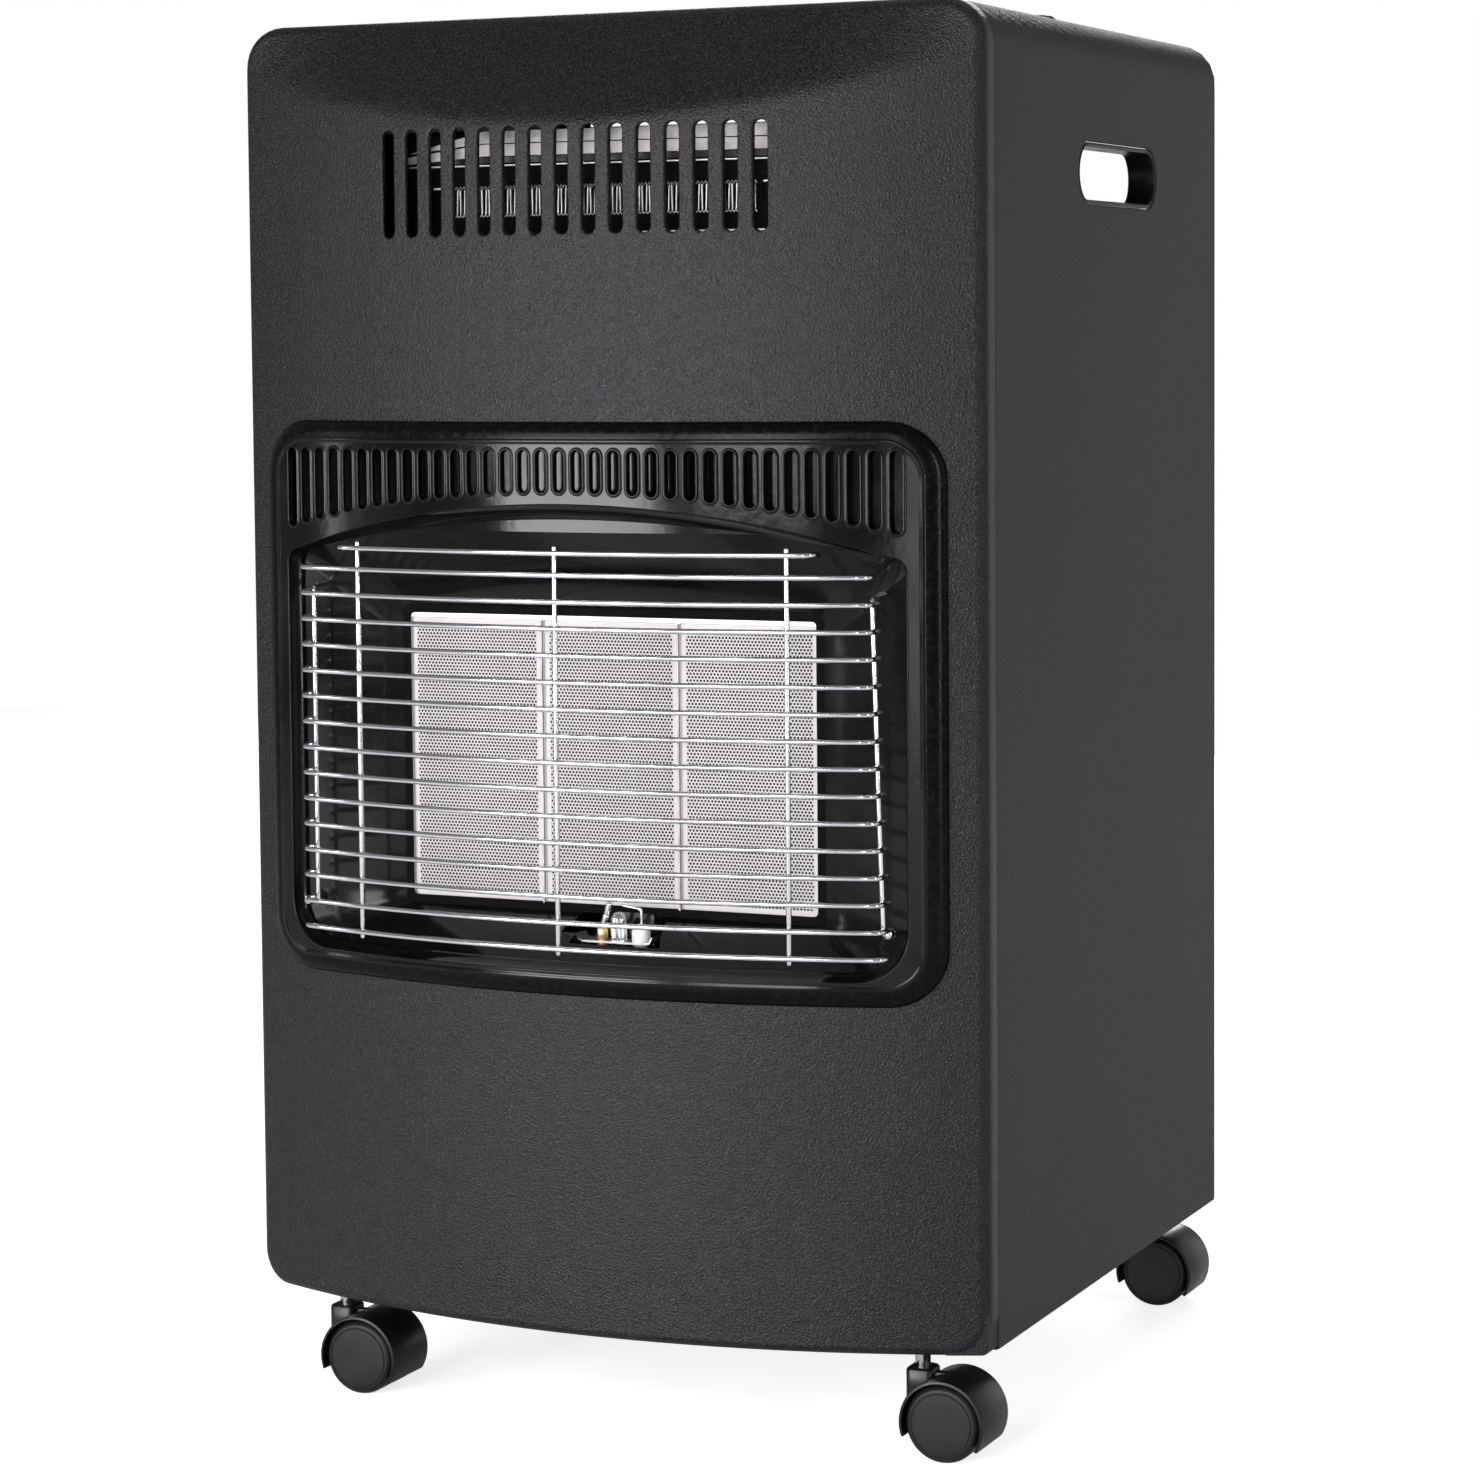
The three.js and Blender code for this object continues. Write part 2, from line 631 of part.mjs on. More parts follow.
function bezelSlots() {
  const slots = [];
  for (let i = 0; i < bezelSlotCount; i += 1) {
    const across = (i - (bezelSlotCount - 1) / 2) / ((bezelSlotCount - 1) / 2);
    const height = bezelSlotShort + (bezelSlotLong - bezelSlotShort) * across ** 2;
    const x = (i - (bezelSlotCount - 1) / 2) * bezelSlotPitch;
    const z = down(bezelSlotDrop + height / 2);
    const slot = roundedRectangle(x, z, bezelSlotWidth, height, bezelSlotWidth / 2);
    const face = bowY(x, bezelProud);
    slots.push(prism(slot, "y", face - 5, face + 8, 1));
  }
  return slots;
}

/** Raised bead that follows the arch over the opening. */
function brow() {
  const half = mouthHalfWidth + 4;
  const steps = 12;
  const rings = Array.from({ length: steps + 1 }, (_, i) => {
    const x = half * ((2 * i) / steps - 1);
    const low = down(archAt(x));
    const [root, face] = [bowY(x, bezelProud - 0.6), bowY(x, bezelProud + browProud)];
    return [
      point(x, root, low + 0.2),
      point(x, face, low + browRise * 0.25),
      point(x, face, low + browRise * 0.75),
      point(x, root, low + browRise),
    ];
  });
  return skin(rings);
}

function burnerBezel() {
  const shell = cut(bezelForm(0, fit), bezelForm(sheet, -8));
  const yDeep = yPanelFront + 60;
  const mouth = prism(polygon(mouthOutline(0)), "y", yPanelFront - 20, yDeep + 10);
  const ring = prism(polygon(mouthOutline(sheet)), "y", yPanelFront - 10, yDeep);
  const band = prism(collarBand(), "z", down(bezelDrop + bezelHeight), down(bezelDrop));
  return cut(join(shell, ring.intersect(band), brow()), mouth, ...bezelSlots());
}

/** Plan of the band that the collar round the opening fills, just behind the bezel's face. */
function collarBand() {
  const steps = 16;
  const at = (i, outwards) => {
    const x = (mouthHalfWidth + 5) * ((2 * i) / steps - 1);
    return [x, bowY(x, outwards)];
  };
  const front = Array.from({ length: steps + 1 }, (_, i) => at(i, bezelProud - 0.3));
  const back = Array.from({ length: steps + 1 }, (_, i) => at(steps - i, -mouthCollar));
  return polygon([...front, ...back]);
}

const plaqueBlock = plaqueCount * plaquePitch;
const frameHalf = plaqueBlock / 2 + frameBorder;
const frameTop = down(plaqueDrop - frameBorder);
const frameBottom = down(plaqueDrop + plaqueHeight + frameBorder);

/** The dished reflector between the bezel's collar and the burner frame. */
function reflector() {
  const mouth = mouthOutline(0);
  const rearHalf = frameHalf - funnelBorder;
  const [rearTop, rearBottom] = [frameTop - funnelBorder, frameBottom + funnelBorder];
  const zMiddle = (rearTop + rearBottom) / 2;
  const zMouth = down(mouthDrop + mouthHeight / 2);
  const halfHeight = (rearTop - rearBottom) / 2;
  const rear = mouth.map(([x, z]) => {
    const [a, b] = [x / mouthHalfWidth, (z - zMouth) / (mouthHeight / 2)];
    const reach = Math.max(Math.abs(a), Math.abs(b));
    return [(a / reach) * rearHalf, zMiddle + (b / reach) * halfHeight];
  });
  const ring = (outline, place, grow) =>
    outline.map(([x, z]) => {
      const away = new THREE.Vector2(x, z - zMouth).normalize().multiplyScalar(grow);
      return point(x + away.x, place(x), z + away.y);
    });
  const yFront = (x) => bowY(x, -mouthCollar - 2 * fit);
  const yRear = () => yBurner - fit;
  const rings = [
    ring(mouth, yFront, 0),
    ring(mouth, yFront, sheet),
    ring(rear, yRear, sheet * 2),
    ring(rear, yRear, 0),
  ];
  const notch = block(
    [pilotX - 26, yPanelFront, down(mouthDrop + mouthHeight) - 5],
    [pilotX + 27, yBurner, zMiddle - halfHeight + 5],
  );
  return cut(skin(rings, true), notch);
}

function burnerFrame() {
  const zMiddle = (frameTop + frameBottom) / 2;
  const outline = roundedRectangle(0, zMiddle, 2 * frameHalf, frameTop - frameBottom, 2);
  const plate = prism(outline, "y", yBurner, yBurner + sheet, 1);
  const windows = plaqueMiddles.map((x) =>
    block(
      [x - (plaquePitch - plaqueDivider) / 2, yBurner - 1, frameBottom + frameBorder + plaqueLip],
      [x + (plaquePitch - plaqueDivider) / 2, yBurner + 5, frameTop - frameBorder - plaqueLip],
    ),
  );
  const skirtDepth = sheet + fit + plaqueThickness;
  const ledge = (z0, z1) => block([-frameHalf, yBurner, z0], [frameHalf, yBurner + skirtDepth, z1]);
  const skirt = join(ledge(frameTop - sheet, frameTop), ledge(frameBottom, frameBottom + sheet));
  return cut(join(plate, skirt), ...windows);
}

// ---------------------------------------------------------------- burners
const plaqueMiddles = Array.from(
  { length: plaqueCount },
  (_, i) => (i - (plaqueCount - 1) / 2) * plaquePitch,
);
const plaqueNames = ["left", "centre", "right"];

function plaque(x) {
  const z = down(plaqueDrop + plaqueHeight / 2);
  const outline = roundedRectangle(x, z, plaqueWidth, plaqueHeight, 2);
  return prism(outline, "y", yPlaque, yPlaque + plaqueThickness, 1);
}

/** Gas-tight box behind a plaque, with its mixing tube, air mouth and injector yoke. */
function burnerBody(x) {
  const z = down(plaqueDrop + plaqueHeight / 2);
  const outline = roundedRectangle(x, z, plaqueWidth, plaqueHeight, 8);
  const box = prism(outline, "y", yBody, yBody + burnerBodyDepth, 2);
  const mouth = down(venturiDrop);
  const bell = 16;
  const tube = turned(
    [[0, 0], [venturiMouthRadius, 0], [venturiRadius, bell], [venturiRadius, venturiRise], [0, venturiRise]],
    "z", point(x, yVenturi, mouth), 14,
  );
  const bore = turned(
    [[0, -1], [venturiMouthRadius - 1.5, -1], [venturiBore, bell], [venturiBore, 60], [0, 60]],
    "z", point(x, yVenturi, mouth), 14,
  );
  const legWidth = 8;
  const leg = (side) =>
    block(
      [x + side * venturiMouthRadius - 1, yVenturi - legWidth / 2, mouth - yokeHeight],
      [x + side * venturiMouthRadius + 1, yVenturi + legWidth / 2, mouth + 3],
    );
  const plate = block(
    [x - venturiMouthRadius, yVenturi - legWidth / 2, mouth - yokeHeight],
    [x + venturiMouthRadius, yVenturi + legWidth / 2, mouth - yokeHeight + yokePlate],
  );
  const seat = rod(injectorRadius - 1 + fit, 20, "z", point(x, yVenturi, mouth - yokeHeight - 5), 10);
  return join(cut(join(box, tube), bore), cut(join(plate, leg(-1), leg(1)), seat));
}

const injectorRadius = 4.6;
const zYoke = down(venturiDrop) - yokeHeight;
const injectorHead = 7;
const zManifold = zYoke - fit - injectorHead - fit - manifoldRadius;

function injector(x) {
  const profile = [
    [0, 0],
    [injectorRadius, 0],
    [injectorRadius, injectorHead],
    [injectorRadius - 1, injectorHead],
    [injectorRadius - 1, injectorHead + 6],
    [1.4, injectorHead + 10],
    [0, injectorHead + 10],
  ];
  return turned(profile, "z", point(x, yVenturi, zManifold + manifoldRadius + fit), 6);
}

function gasManifold() {
  const half = plaquePitch + 26;
  const pipe = rod(manifoldRadius, 2 * half, "x", point(-half, yVenturi, zManifold), 12);
  const pads = plaqueMiddles.map((x) =>
    block(
      [x - 5, yVenturi - 5, zManifold],
      [x + 5, yVenturi + 5, zManifold + manifoldRadius],
    ),
  );
  const nut = rod(manifoldRadius + 2, 9, "x", point(half - 9, yVenturi, zManifold), 6);
  return join(pipe, nut, ...pads);
}

// ---------------------------------------------------------------- pilot group
const pilotX = 11;
const pilotY = yBurner - 15;
const zShelf = down(mouthDrop + mouthHeight) + 3.7;
const shelfThickness = 1;
const shelfHalf = 23;
const shelfDepth = 12;
const thermocoupleX = pilotX - 13;
const electrodeX = pilotX + 13;

function pilotBracket() {
  const curl = 4;
  const profile = polygon([
    [pilotX - shelfHalf, zShelf + curl],
    [pilotX - shelfHalf, zShelf - shelfThickness],
    [pilotX + shelfHalf, zShelf - shelfThickness],
    [pilotX + shelfHalf, zShelf + curl],
    [pilotX + shelfHalf - shelfThickness, zShelf + curl],
    [pilotX + shelfHalf - shelfThickness, zShelf],
    [pilotX - shelfHalf + shelfThickness, zShelf],
    [pilotX - shelfHalf + shelfThickness, zShelf + curl],
  ]);
  const shelf = prism(profile, "y", pilotY - shelfDepth / 2, pilotY + shelfDepth / 2);
  const backPlate = block(
    [pilotX - 14, yBurner - fit - shelfThickness, zShelf - shelfThickness],
    [pilotX + 14, yBurner - fit, frameBottom + 3],
  );
  const foot = block(
    [pilotX - 14, pilotY, zShelf - shelfThickness],
    [pilotX + 14, yBurner - fit, zShelf],
  );
  const bore = (x, radius) => rod(radius + fit, 10, "z", point(x, pilotY, zShelf - 5), 10);
  const holes = [bore(pilotX, 3), bore(thermocoupleX, 2.5), bore(electrodeX, 2.5)];
  return cut(join(shelf, foot, backPlate), ...holes);
}

/** Ribbed pilot jet with a domed, slotted head; its neck passes through the shelf. */
function pilotBurner() {
  const above = zShelf + fit;
  const profile = [
    [0, -12], [2.6, -12], [2.6, -4], [3, -4], [3, 0], [5, 0], [5, 2.5], [4.2, 3], [4.2, 4.5],
    [4.8, 5], [4.8, 7], [4.2, 7.5], [4.2, 9], [4.8, 9.5], [4.8, 12], [3.2, 14.6], [0, 15.6],
  ];
  const flame = block([pilotX - 8, pilotY - 1, above + 9.8], [pilotX - 1, pilotY + 1, above + 13]);
  return cut(turned(profile, "z", point(pilotX, pilotY, above), 14), flame);
}

/** Thermocouple: a nut on the shelf and a slim probe that leans to the pilot flame. */
function thermocouple() {
  const above = zShelf + fit;
  const nut = turned(
    [[0, -12], [1.8, -12], [1.8, -5], [2.5, -5], [2.5, 0], [4.2, 0], [4.2, 4.5], [0, 4.5]],
    "z", point(thermocoupleX, pilotY, above), 6,
  );
  const start = point(thermocoupleX, pilotY, above + 3);
  const tip = point(thermocoupleX + 4.5, pilotY - 1, above + 18);
  return join(nut, wire([start, tip], 1.6, 8));
}

function electrodeInsulator() {
  const profile = [
    [0, -10], [2.2, -10], [2.5, -9], [2.5, 0], [4, 0], [4, 3], [3.1, 4], [3.1, 10], [2, 11.5],
    [1.1 + fit, 11.5], [1.1 + fit, 4], [0, 4],
  ];
  return turned(profile, "z", point(electrodeX, pilotY, zShelf + fit), 12);
}

function electrodeWire() {
  const foot = zShelf + fit + 4 + fit;
  const route = [
    point(electrodeX, pilotY, foot),
    point(electrodeX, pilotY, foot + 14),
    point(electrodeX - 7.5, pilotY, foot + 16.5),
  ];
  return wire(bent(route, 3), 0.9, 6);
}

// ---------------------------------------------------------------- wire guard
/** Y of the guard's bowed front at x. */
const guardY = (x) => bowY(x, guardProud);

/** Y at which a wire end at x stops short of the reflector's sloping side wall. */
function guardEnd(x) {
  const yMouth = bowY(mouthHalfWidth, -mouthCollar - 2 * fit);
  const rearHalf = frameHalf - funnelBorder;
  const along = (mouthHalfWidth - x - wireDiameter / 2) / (mouthHalfWidth - rearHalf);
  return THREE.MathUtils.lerp(yMouth, yBurner - fit, along) - fit;
}

/** One guard wire at a height: along the bow, then bent back at both ends as far as yEnd. */
function guardWire(z, half, yEnd) {
  const steps = 6;
  const front = Array.from({ length: steps + 1 }, (_, i) => {
    const x = (half - guardBend) * ((2 * i) / steps - 1);
    return point(x, guardY(x), z);
  });
  const corner = (side) => {
    const x = side * half;
    const y = guardY(x) + guardBend * 0.2;
    const turn = [
      point(side * (half - guardBend * 0.35), y + guardBend * 0.12, z),
      point(x, y + guardBend * 0.9, z),
    ];
    return [...turn, point(x, yEnd, z)];
  };
  return wire([...corner(-1).reverse(), ...front, ...corner(1)], wireDiameter / 2, 5);
}

function wireGuard() {
  const rows = [];
  for (let row = 0; row < guardRows; row += 1) {
    const trim = row === 0 || row === guardRows - 1 ? guardCornerTrim : 0;
    const yEnd = guardEnd(guardHalfWidth) - trim;
    rows.push(guardWire(down(guardDrop + row * guardPitch), guardHalfWidth, yEnd));
  }
  const zHigh = down(guardDrop - guardTopGap);
  const zLow = down(guardDrop + (guardRows - 1) * guardPitch);
  const [railLow, railHigh] = [zLow + guardPitch, down(guardDrop + guardPitch)];
  const overlap = wireDiameter * 0.3;
  const upright = (x) => {
    const y = guardY(x) + wireDiameter - overlap;
    return wire([point(x, y, zLow - 2), point(x, y, zHigh + 2)], wireDiameter / 2, 4);
  };
  const rail = (side) => {
    const x = side * (guardHalfWidth - wireDiameter + overlap);
    const y = guardRailY;
    return wire([point(x, y, railLow - 2), point(x, y, railHigh + 2)], wireDiameter / 2, 4);
  };
  const uprights = [-guardUprightX, 0, guardUprightX].map(upright);
  const topHalf = guardHalfWidth - guardTopInset;
  const topWire = guardWire(zHigh, topHalf, guardY(topHalf) + guardTopReturn);
  return join(...rows, topWire, ...uprights, rail(-1), rail(1));
}

const guardRailY = bowY(guardHalfWidth, guardProud) + 22;

// ---------------------------------------------------------------- shields inside
function compartmentShield() {
  const half = halfWidth - 2 * (sheet + fit) - fit;
  const [front, back] = [yShield, yShield + 12];
  const plan = polygon([
    [-half, back], [-half, front], [half, front], [half, back],
    [half - sheet, back], [half - sheet, front + sheet],
    [-half + sheet, front + sheet], [-half + sheet, back],
  ]);
  return prism(plan, "z", zTray + sheet + fit, down(shieldTopDrop));
}

const shieldTopDrop = 128;
const shieldSheet = 0.8;
const heatSlotPitch = 9;
const heatSlotCount = 27;

/** Folded, slotted deflector behind the vents: lets air rise and hides the works. */
function heatShield() {
  const profile = [
    [yPanelFront + 62, down(57)], [yPanelFront + 46, down(60)], [yPanelFront + 46, down(71)],
    [yPanelFront + 51, down(75)], [yPanelFront + 51, down(120)], [yPanelFront + 2, down(126)],
  ];
  const half = halfWidth - sheet - fit;
  const bent = prism(folded(profile, shieldSheet), "x", -half, half);
  const inside = insideForm(sheet + fit);
  const slots = Array.from({ length: heatSlotCount }, (_, i) => {
    const x = (i - (heatSlotCount - 1) / 2) * heatSlotPitch;
    const y = yPanelFront + 45;
    return block([x - 1.7, y, down(97)], [x + 1.7, y + 12, down(84)]);
  });
  return cut(bent.intersect(inside), ...slots);
}

// ---------------------------------------------------------------- controls in the top
const zNeck = zWellFloor + 2;
const zSpindleTop = zTop + 2;

function controlWell() {
  const outline = (grow) =>
    roundedRectangle(wellMiddleX, knobY, wellWidth + 2 * grow, wellLength + 2 * grow, wellRadius + grow);
  const cup = prism(outline(-fit), "z", zWellUnder, zTop, 2);
  const inside = prism(outline(-fit - wellWall), "z", zWellFloor, zTop + 1, 2);
  const zSeat = zTop - sheet - fit;
  const flange = prism(outline(wellFlange), "z", zSeat - wellWall, zSeat, 2);
  const neckHole = rod(neckRadius + fit, 10, "z", point(knobX, knobY, zWellUnder - 4), 16);
  const buttonHole = rod(piezoRadius + fit, 10, "z", point(buttonX, knobY, zWellUnder - 4), 16);
  return cut(join(cup, flange), inside, neckHole, buttonHole);
}

const neckRadius = 8.7;
const piezoRadius = 11;
const valveHalfWidth = 22;
const valveHalfDepth = 15;
const valveHeight = 44;
const zValveTop = zWellUnder - fit;
const zValvePort = zValveTop - 24;
const outletX = knobX + 10;
const pilotPortX = knobX - 12;

function gasValve() {
  const body = block(
    [knobX - valveHalfWidth, knobY - valveHalfDepth, zValveTop - valveHeight],
    [knobX + valveHalfWidth, knobY + valveHalfDepth, zValveTop],
  );
  const neck = rod(neckRadius, zNeck - zValveTop + 1, "z", point(knobX, knobY, zValveTop - 1), 16);
  const inlet = rod(8, 9, "y", point(knobX, knobY + valveHalfDepth - 1, zValvePort), 12);
  const outlet = rod(7.5, 9, "y", point(outletX, knobY - valveHalfDepth - 8, zValvePort), 12);
  const pilotPort = rod(5, 9, "y", point(pilotPortX, knobY - valveHalfDepth - 8, zValvePort), 10);
  const sensorPort = rod(5, 9, "z", point(knobX, knobY, zValveTop - valveHeight - 8), 10);
  const depth = spindleLength - (zSpindleTop - zNeck) + 1;
  const bore = rod(spindleRadius + running, depth + 5, "z", point(knobX, knobY, zNeck - depth), 14);
  return cut(join(body, neck, inlet, outlet, pilotPort, sensorPort), bore);
}

/** Spindle of the gas tap, with the flat that turns it with its knob. */
function valveSpindle() {
  const shaft = rod(spindleRadius, spindleLength, "z", point(knobX, knobY, zSpindleTop - spindleLength), 14);
  const flat = block(
    [knobX + spindleRadius - 1.2, knobY - 6, zNeck + 1],
    [knobX + spindleRadius + 2, knobY + 6, zSpindleTop + 1],
  );
  return cut(shaft, flat);
}

/** Fluted control knob: skirt, grip and a blind D-shaped bore with room to be pushed in. */
function controlKnob() {
  const z0 = zWellFloor + knobLift;
  const grip = Array.from({ length: knobFlutes * 4 }, (_, i) => {
    const angle = (i / (knobFlutes * 4)) * 2 * Math.PI;
    const r = knobRadius - 5 - 1.1 * Math.cos(angle * knobFlutes);
    return [knobX + r * Math.cos(angle), knobY + r * Math.sin(angle)];
  });
  const skirt = turned(
    [[0, 0], [knobRadius, 0], [knobRadius, 3], [knobRadius - 5, 7], [0, 7]],
    "z", point(knobX, knobY, z0), 28,
  );
  const cap = prism(polygon(grip), "z", z0 + 5, z0 + knobHeight);
  const pointer = block([knobX - 1.2, knobY - knobRadius + 4.5, z0 + knobHeight - 1],
    [knobX + 1.2, knobY - 4, z0 + knobHeight + 0.8]);
  const boreDepth = zSpindleTop + knobTravel + 1 - z0;
  const bore = rod(spindleRadius + running, boreDepth + 1, "z", point(knobX, knobY, z0 - 1), 14);
  const key = block(
    [knobX + spindleRadius - 1.2 + fit, knobY - 6, zNeck + knobTravel + 2],
    [knobX + spindleRadius + 1, knobY + 6, z0 + boreDepth + 0.5],
  );
  return cut(join(skirt, cap, pointer), cut(bore, key));
}

const zPiezoRim = zWellFloor + fit + 2.5;
const piezoBoreDepth = 19;
const piezoLength = 40;

function piezoBody() {
  const boreRadius = buttonRadius + running;
  const rim = 14;
  const brim = zPiezoRim - (zWellFloor + fit);
  const profile = [
    [0, -piezoLength], [3, -piezoLength], [3, -piezoLength + 6], [piezoRadius, -piezoLength + 6],
    [piezoRadius, -brim], [rim, -brim], [rim - 1, 0], [boreRadius, 0],
    [boreRadius, -piezoBoreDepth], [0, -piezoBoreDepth],
  ];
  return turned(profile, "z", point(buttonX, knobY, zPiezoRim), 20);
}

function piezoButton() {
  const foot = -(piezoBoreDepth - buttonTravel - 1);
  const profile = [
    [0, foot], [buttonRadius, foot], [buttonRadius, buttonProud - 1],
    [buttonRadius - 1.5, buttonProud], [0, buttonProud - 0.8],
  ];
  return turned(profile, "z", point(buttonX, knobY, zPiezoRim), 18);
}

/** Hose nipple screwed into the tap: hex, collar and two barbs, bored through its nose. */
function hoseInlet() {
  const y0 = knobY + valveHalfDepth + 8 + fit;
  const stem = turned(
    [[0, 5], [4.6, 5], [4.6, 12], [6, 13], [4.4, 19], [6, 20], [4.4, 26], [2.5, 26], [2.5, 12], [0, 12]],
    "y", point(knobX, y0, zValvePort), 14,
  );
  const hex = rod(8.5, 6, "y", point(knobX, y0, zValvePort), 6);
  return join(hex, stem);
}

// ---------------------------------------------------------------- pipes and leads
const yRiser = yShield - 6; // where the pipes climb, just ahead of the compartment shield
const zCross = down(shieldTopDrop) + 24; // where they cross over the shield to the tap
const zUnder = down(venturiDrop) - 10; // where they run under the burners
const yPort = knobY - valveHalfDepth - 8;

function supplyPipe() {
  const xRise = plaquePitch + 26 + 42;
  const route = [
    point(outletX, yPort - fit, zValvePort),
    point(outletX, yShield + 40, zValvePort),
    point(outletX, yShield + 26, zCross),
    point(xRise, yRiser, zCross),
    point(xRise, yRiser, zManifold),
    point(xRise - 12, yVenturi, zManifold),
    point(plaquePitch + 26 + fit, yVenturi, zManifold),
  ];
  return wire(bent(route, 10, 3), supplyRadius, 8);
}

function pilotPipe() {
  const xRise = plaquePitch + 26 + 54;
  const route = [
    point(pilotPortX, yPort - fit, zValvePort),
    point(pilotPortX, yShield + 80, zValvePort),
    point(pilotPortX, yShield + 66, zCross + 20),
    point(xRise, yShield + 60, zCross + 20),
    point(xRise, yRiser, zCross + 8),
    point(xRise, yRiser, zUnder),
    point(xRise, pilotY + 24, zUnder),
    point(pilotX, pilotY + 24, zUnder),
    point(pilotX, pilotY, zUnder),
    point(pilotX, pilotY, zShelf - 12),
  ];
  return wire(bent(route, 7, 2), pilotPipeRadius, 6);
}

function thermocoupleLead() {
  const xRise = plaquePitch + 26 + 61;
  const zRun = zUnder - 6;
  const route = [
    point(knobX, knobY, zValveTop - valveHeight - 8 - fit),
    point(knobX, knobY, zCross - 4),
    point(xRise, knobY - 30, zCross - 4),
    point(xRise, yRiser, zCross - 4),
    point(xRise, yRiser, zRun),
    point(xRise, pilotY + 32, zRun),
    point(thermocoupleX, pilotY + 32, zRun),
    point(thermocoupleX, pilotY, zRun),
    point(thermocoupleX, pilotY, zShelf - 12),
  ];
  return wire(bent(route, 6, 2), capillaryRadius, 6);
}

function ignitionLead() {
  const xRise = plaquePitch + 26 + 68;
  const zRun = zUnder - 12;
  const route = [
    point(buttonX, knobY, zPiezoRim - piezoLength - fit),
    point(buttonX, knobY, zCross - 14),
    point(buttonX + 30, yShield + 40, zCross - 14),
    point(xRise, yShield + 20, zCross + 4),
    point(xRise, yRiser, zCross + 4),
    point(xRise, yRiser, zRun),
    point(xRise, pilotY + 40, zRun),
    point(electrodeX, pilotY + 40, zRun),
    point(electrodeX, pilotY, zRun),
    point(electrodeX, pilotY, zShelf - 10),
  ];
  return wire(bent(route, 8, 2), leadRadius, 6);
}

// ---------------------------------------------------------------- casters
const casterPlaces = [
  { name: "front_left", x: -casterX, y: yWrapFront + casterFrontInset },
  { name: "front_right", x: casterX, y: yWrapFront + casterFrontInset },
  { name: "rear_left", x: -casterX, y: yWrapRear - casterRearInset },
  { name: "rear_right", x: casterX, y: yWrapRear - casterRearInset },
];

/** Fixed pivot stem: pin in the hood, disc under the tray, thread and nut above it. */
function casterStem() {
  const pin = hoodTop - 10;
  const disc = zTray - fit;
  const floor = zTray + sheet + fit;
  const profile = [
    [0, pin], [stemRadius, pin], [stemRadius, disc - 2], [9, disc - 2], [9, disc],
    [stemRadius, disc], [stemRadius, floor], [7.5, floor], [7.5, floor + 5], [stemRadius, floor + 5],
    [stemRadius, floor + 9], [0, floor + 9],
  ];
  return turned(profile, "z", point(0, 0, 0), 12);
}

/** Hood over the twin wheels: a curved band, a middle web and the swivel boss. */
function casterHood() {
  const [xAxle, zAxle] = [casterTrail, wheelRadius];
  const band = new THREE.Shape();
  const [low, high] = [THREE.MathUtils.degToRad(-32), THREE.MathUtils.degToRad(200)];
  band.absarc(xAxle, zAxle, hoodRadius, low, high, false);
  band.absarc(xAxle, zAxle, hoodRadius - hoodWall, high, low, true);
  const cover = prism(band, "y", -casterWidth / 2, casterWidth / 2, 8);
  const web = prism(circle(xAxle, zAxle, hoodRadius - hoodWall / 2), "y", -2, 2, 8);
  const floorCut = block([-40, -30, -5], [60, 30, 6]);
  const boss = rod(8.5, hoodTop - zAxle, "z", point(0, 0, zAxle), 12);
  const wheelRoom = prism(circle(xAxle, zAxle, hoodRadius - hoodWall), "y", -30, 30, 10);
  const pivot = rod(stemRadius + running, 20, "z", point(0, 0, hoodTop - 10 - 2 * running), 12);
  const axleHole = rod(axleRadius + running, 10, "y", point(xAxle, -5, zAxle), 10);
  return cut(join(cover, cut(boss, wheelRoom), cut(web, floorCut)), pivot, axleHole);
}

/** One wheel, turned on its axle; side is -1 or 1. */
function casterWheel(side) {
  const inner = 2 + 1;
  const outer = inner + wheelWidth;
  const profile = [
    [0, outer - 2.5],
    [axleRadius + running, outer - 2.5],
    [axleRadius + running, inner],
    [wheelRadius - 1.5, inner],
    [wheelRadius, inner + 1.5],
    [wheelRadius, outer - 3],
    [wheelRadius - 3, outer],
    [0, outer],
  ].map(([r, d]) => [r, side * d]);
  return turned(profile, "y", point(casterTrail, 0, wheelRadius), 18);
}

function casterAxle() {
  const half = 2 + wheelWidth - 3;
  return rod(axleRadius, 2 * half, "y", point(casterTrail, -half, wheelRadius), 10);
}

function addCasters() {
  const [stem, hood, axle] = [casterStem(), casterHood(), casterAxle()];
  const wheels = { outer: casterWheel(-1), inner: casterWheel(1) };
  for (const { name, x, y } of casterPlaces) {
    const caster = new THREE.Group();
    caster.position.set(x, y, 0);
    add(`caster_stem_${name}`, stem, brightChrome, caster);
    add(`caster_hood_${name}`, hood, blackPlastic, caster);
    add(`caster_axle_${name}`, axle, brightChrome, caster);
    add(`caster_wheel_${name}_fore`, wheels.outer, blackPlastic, caster);
    add(`caster_wheel_${name}_aft`, wheels.inner, blackPlastic, caster);
    heater.add(caster);
  }
}

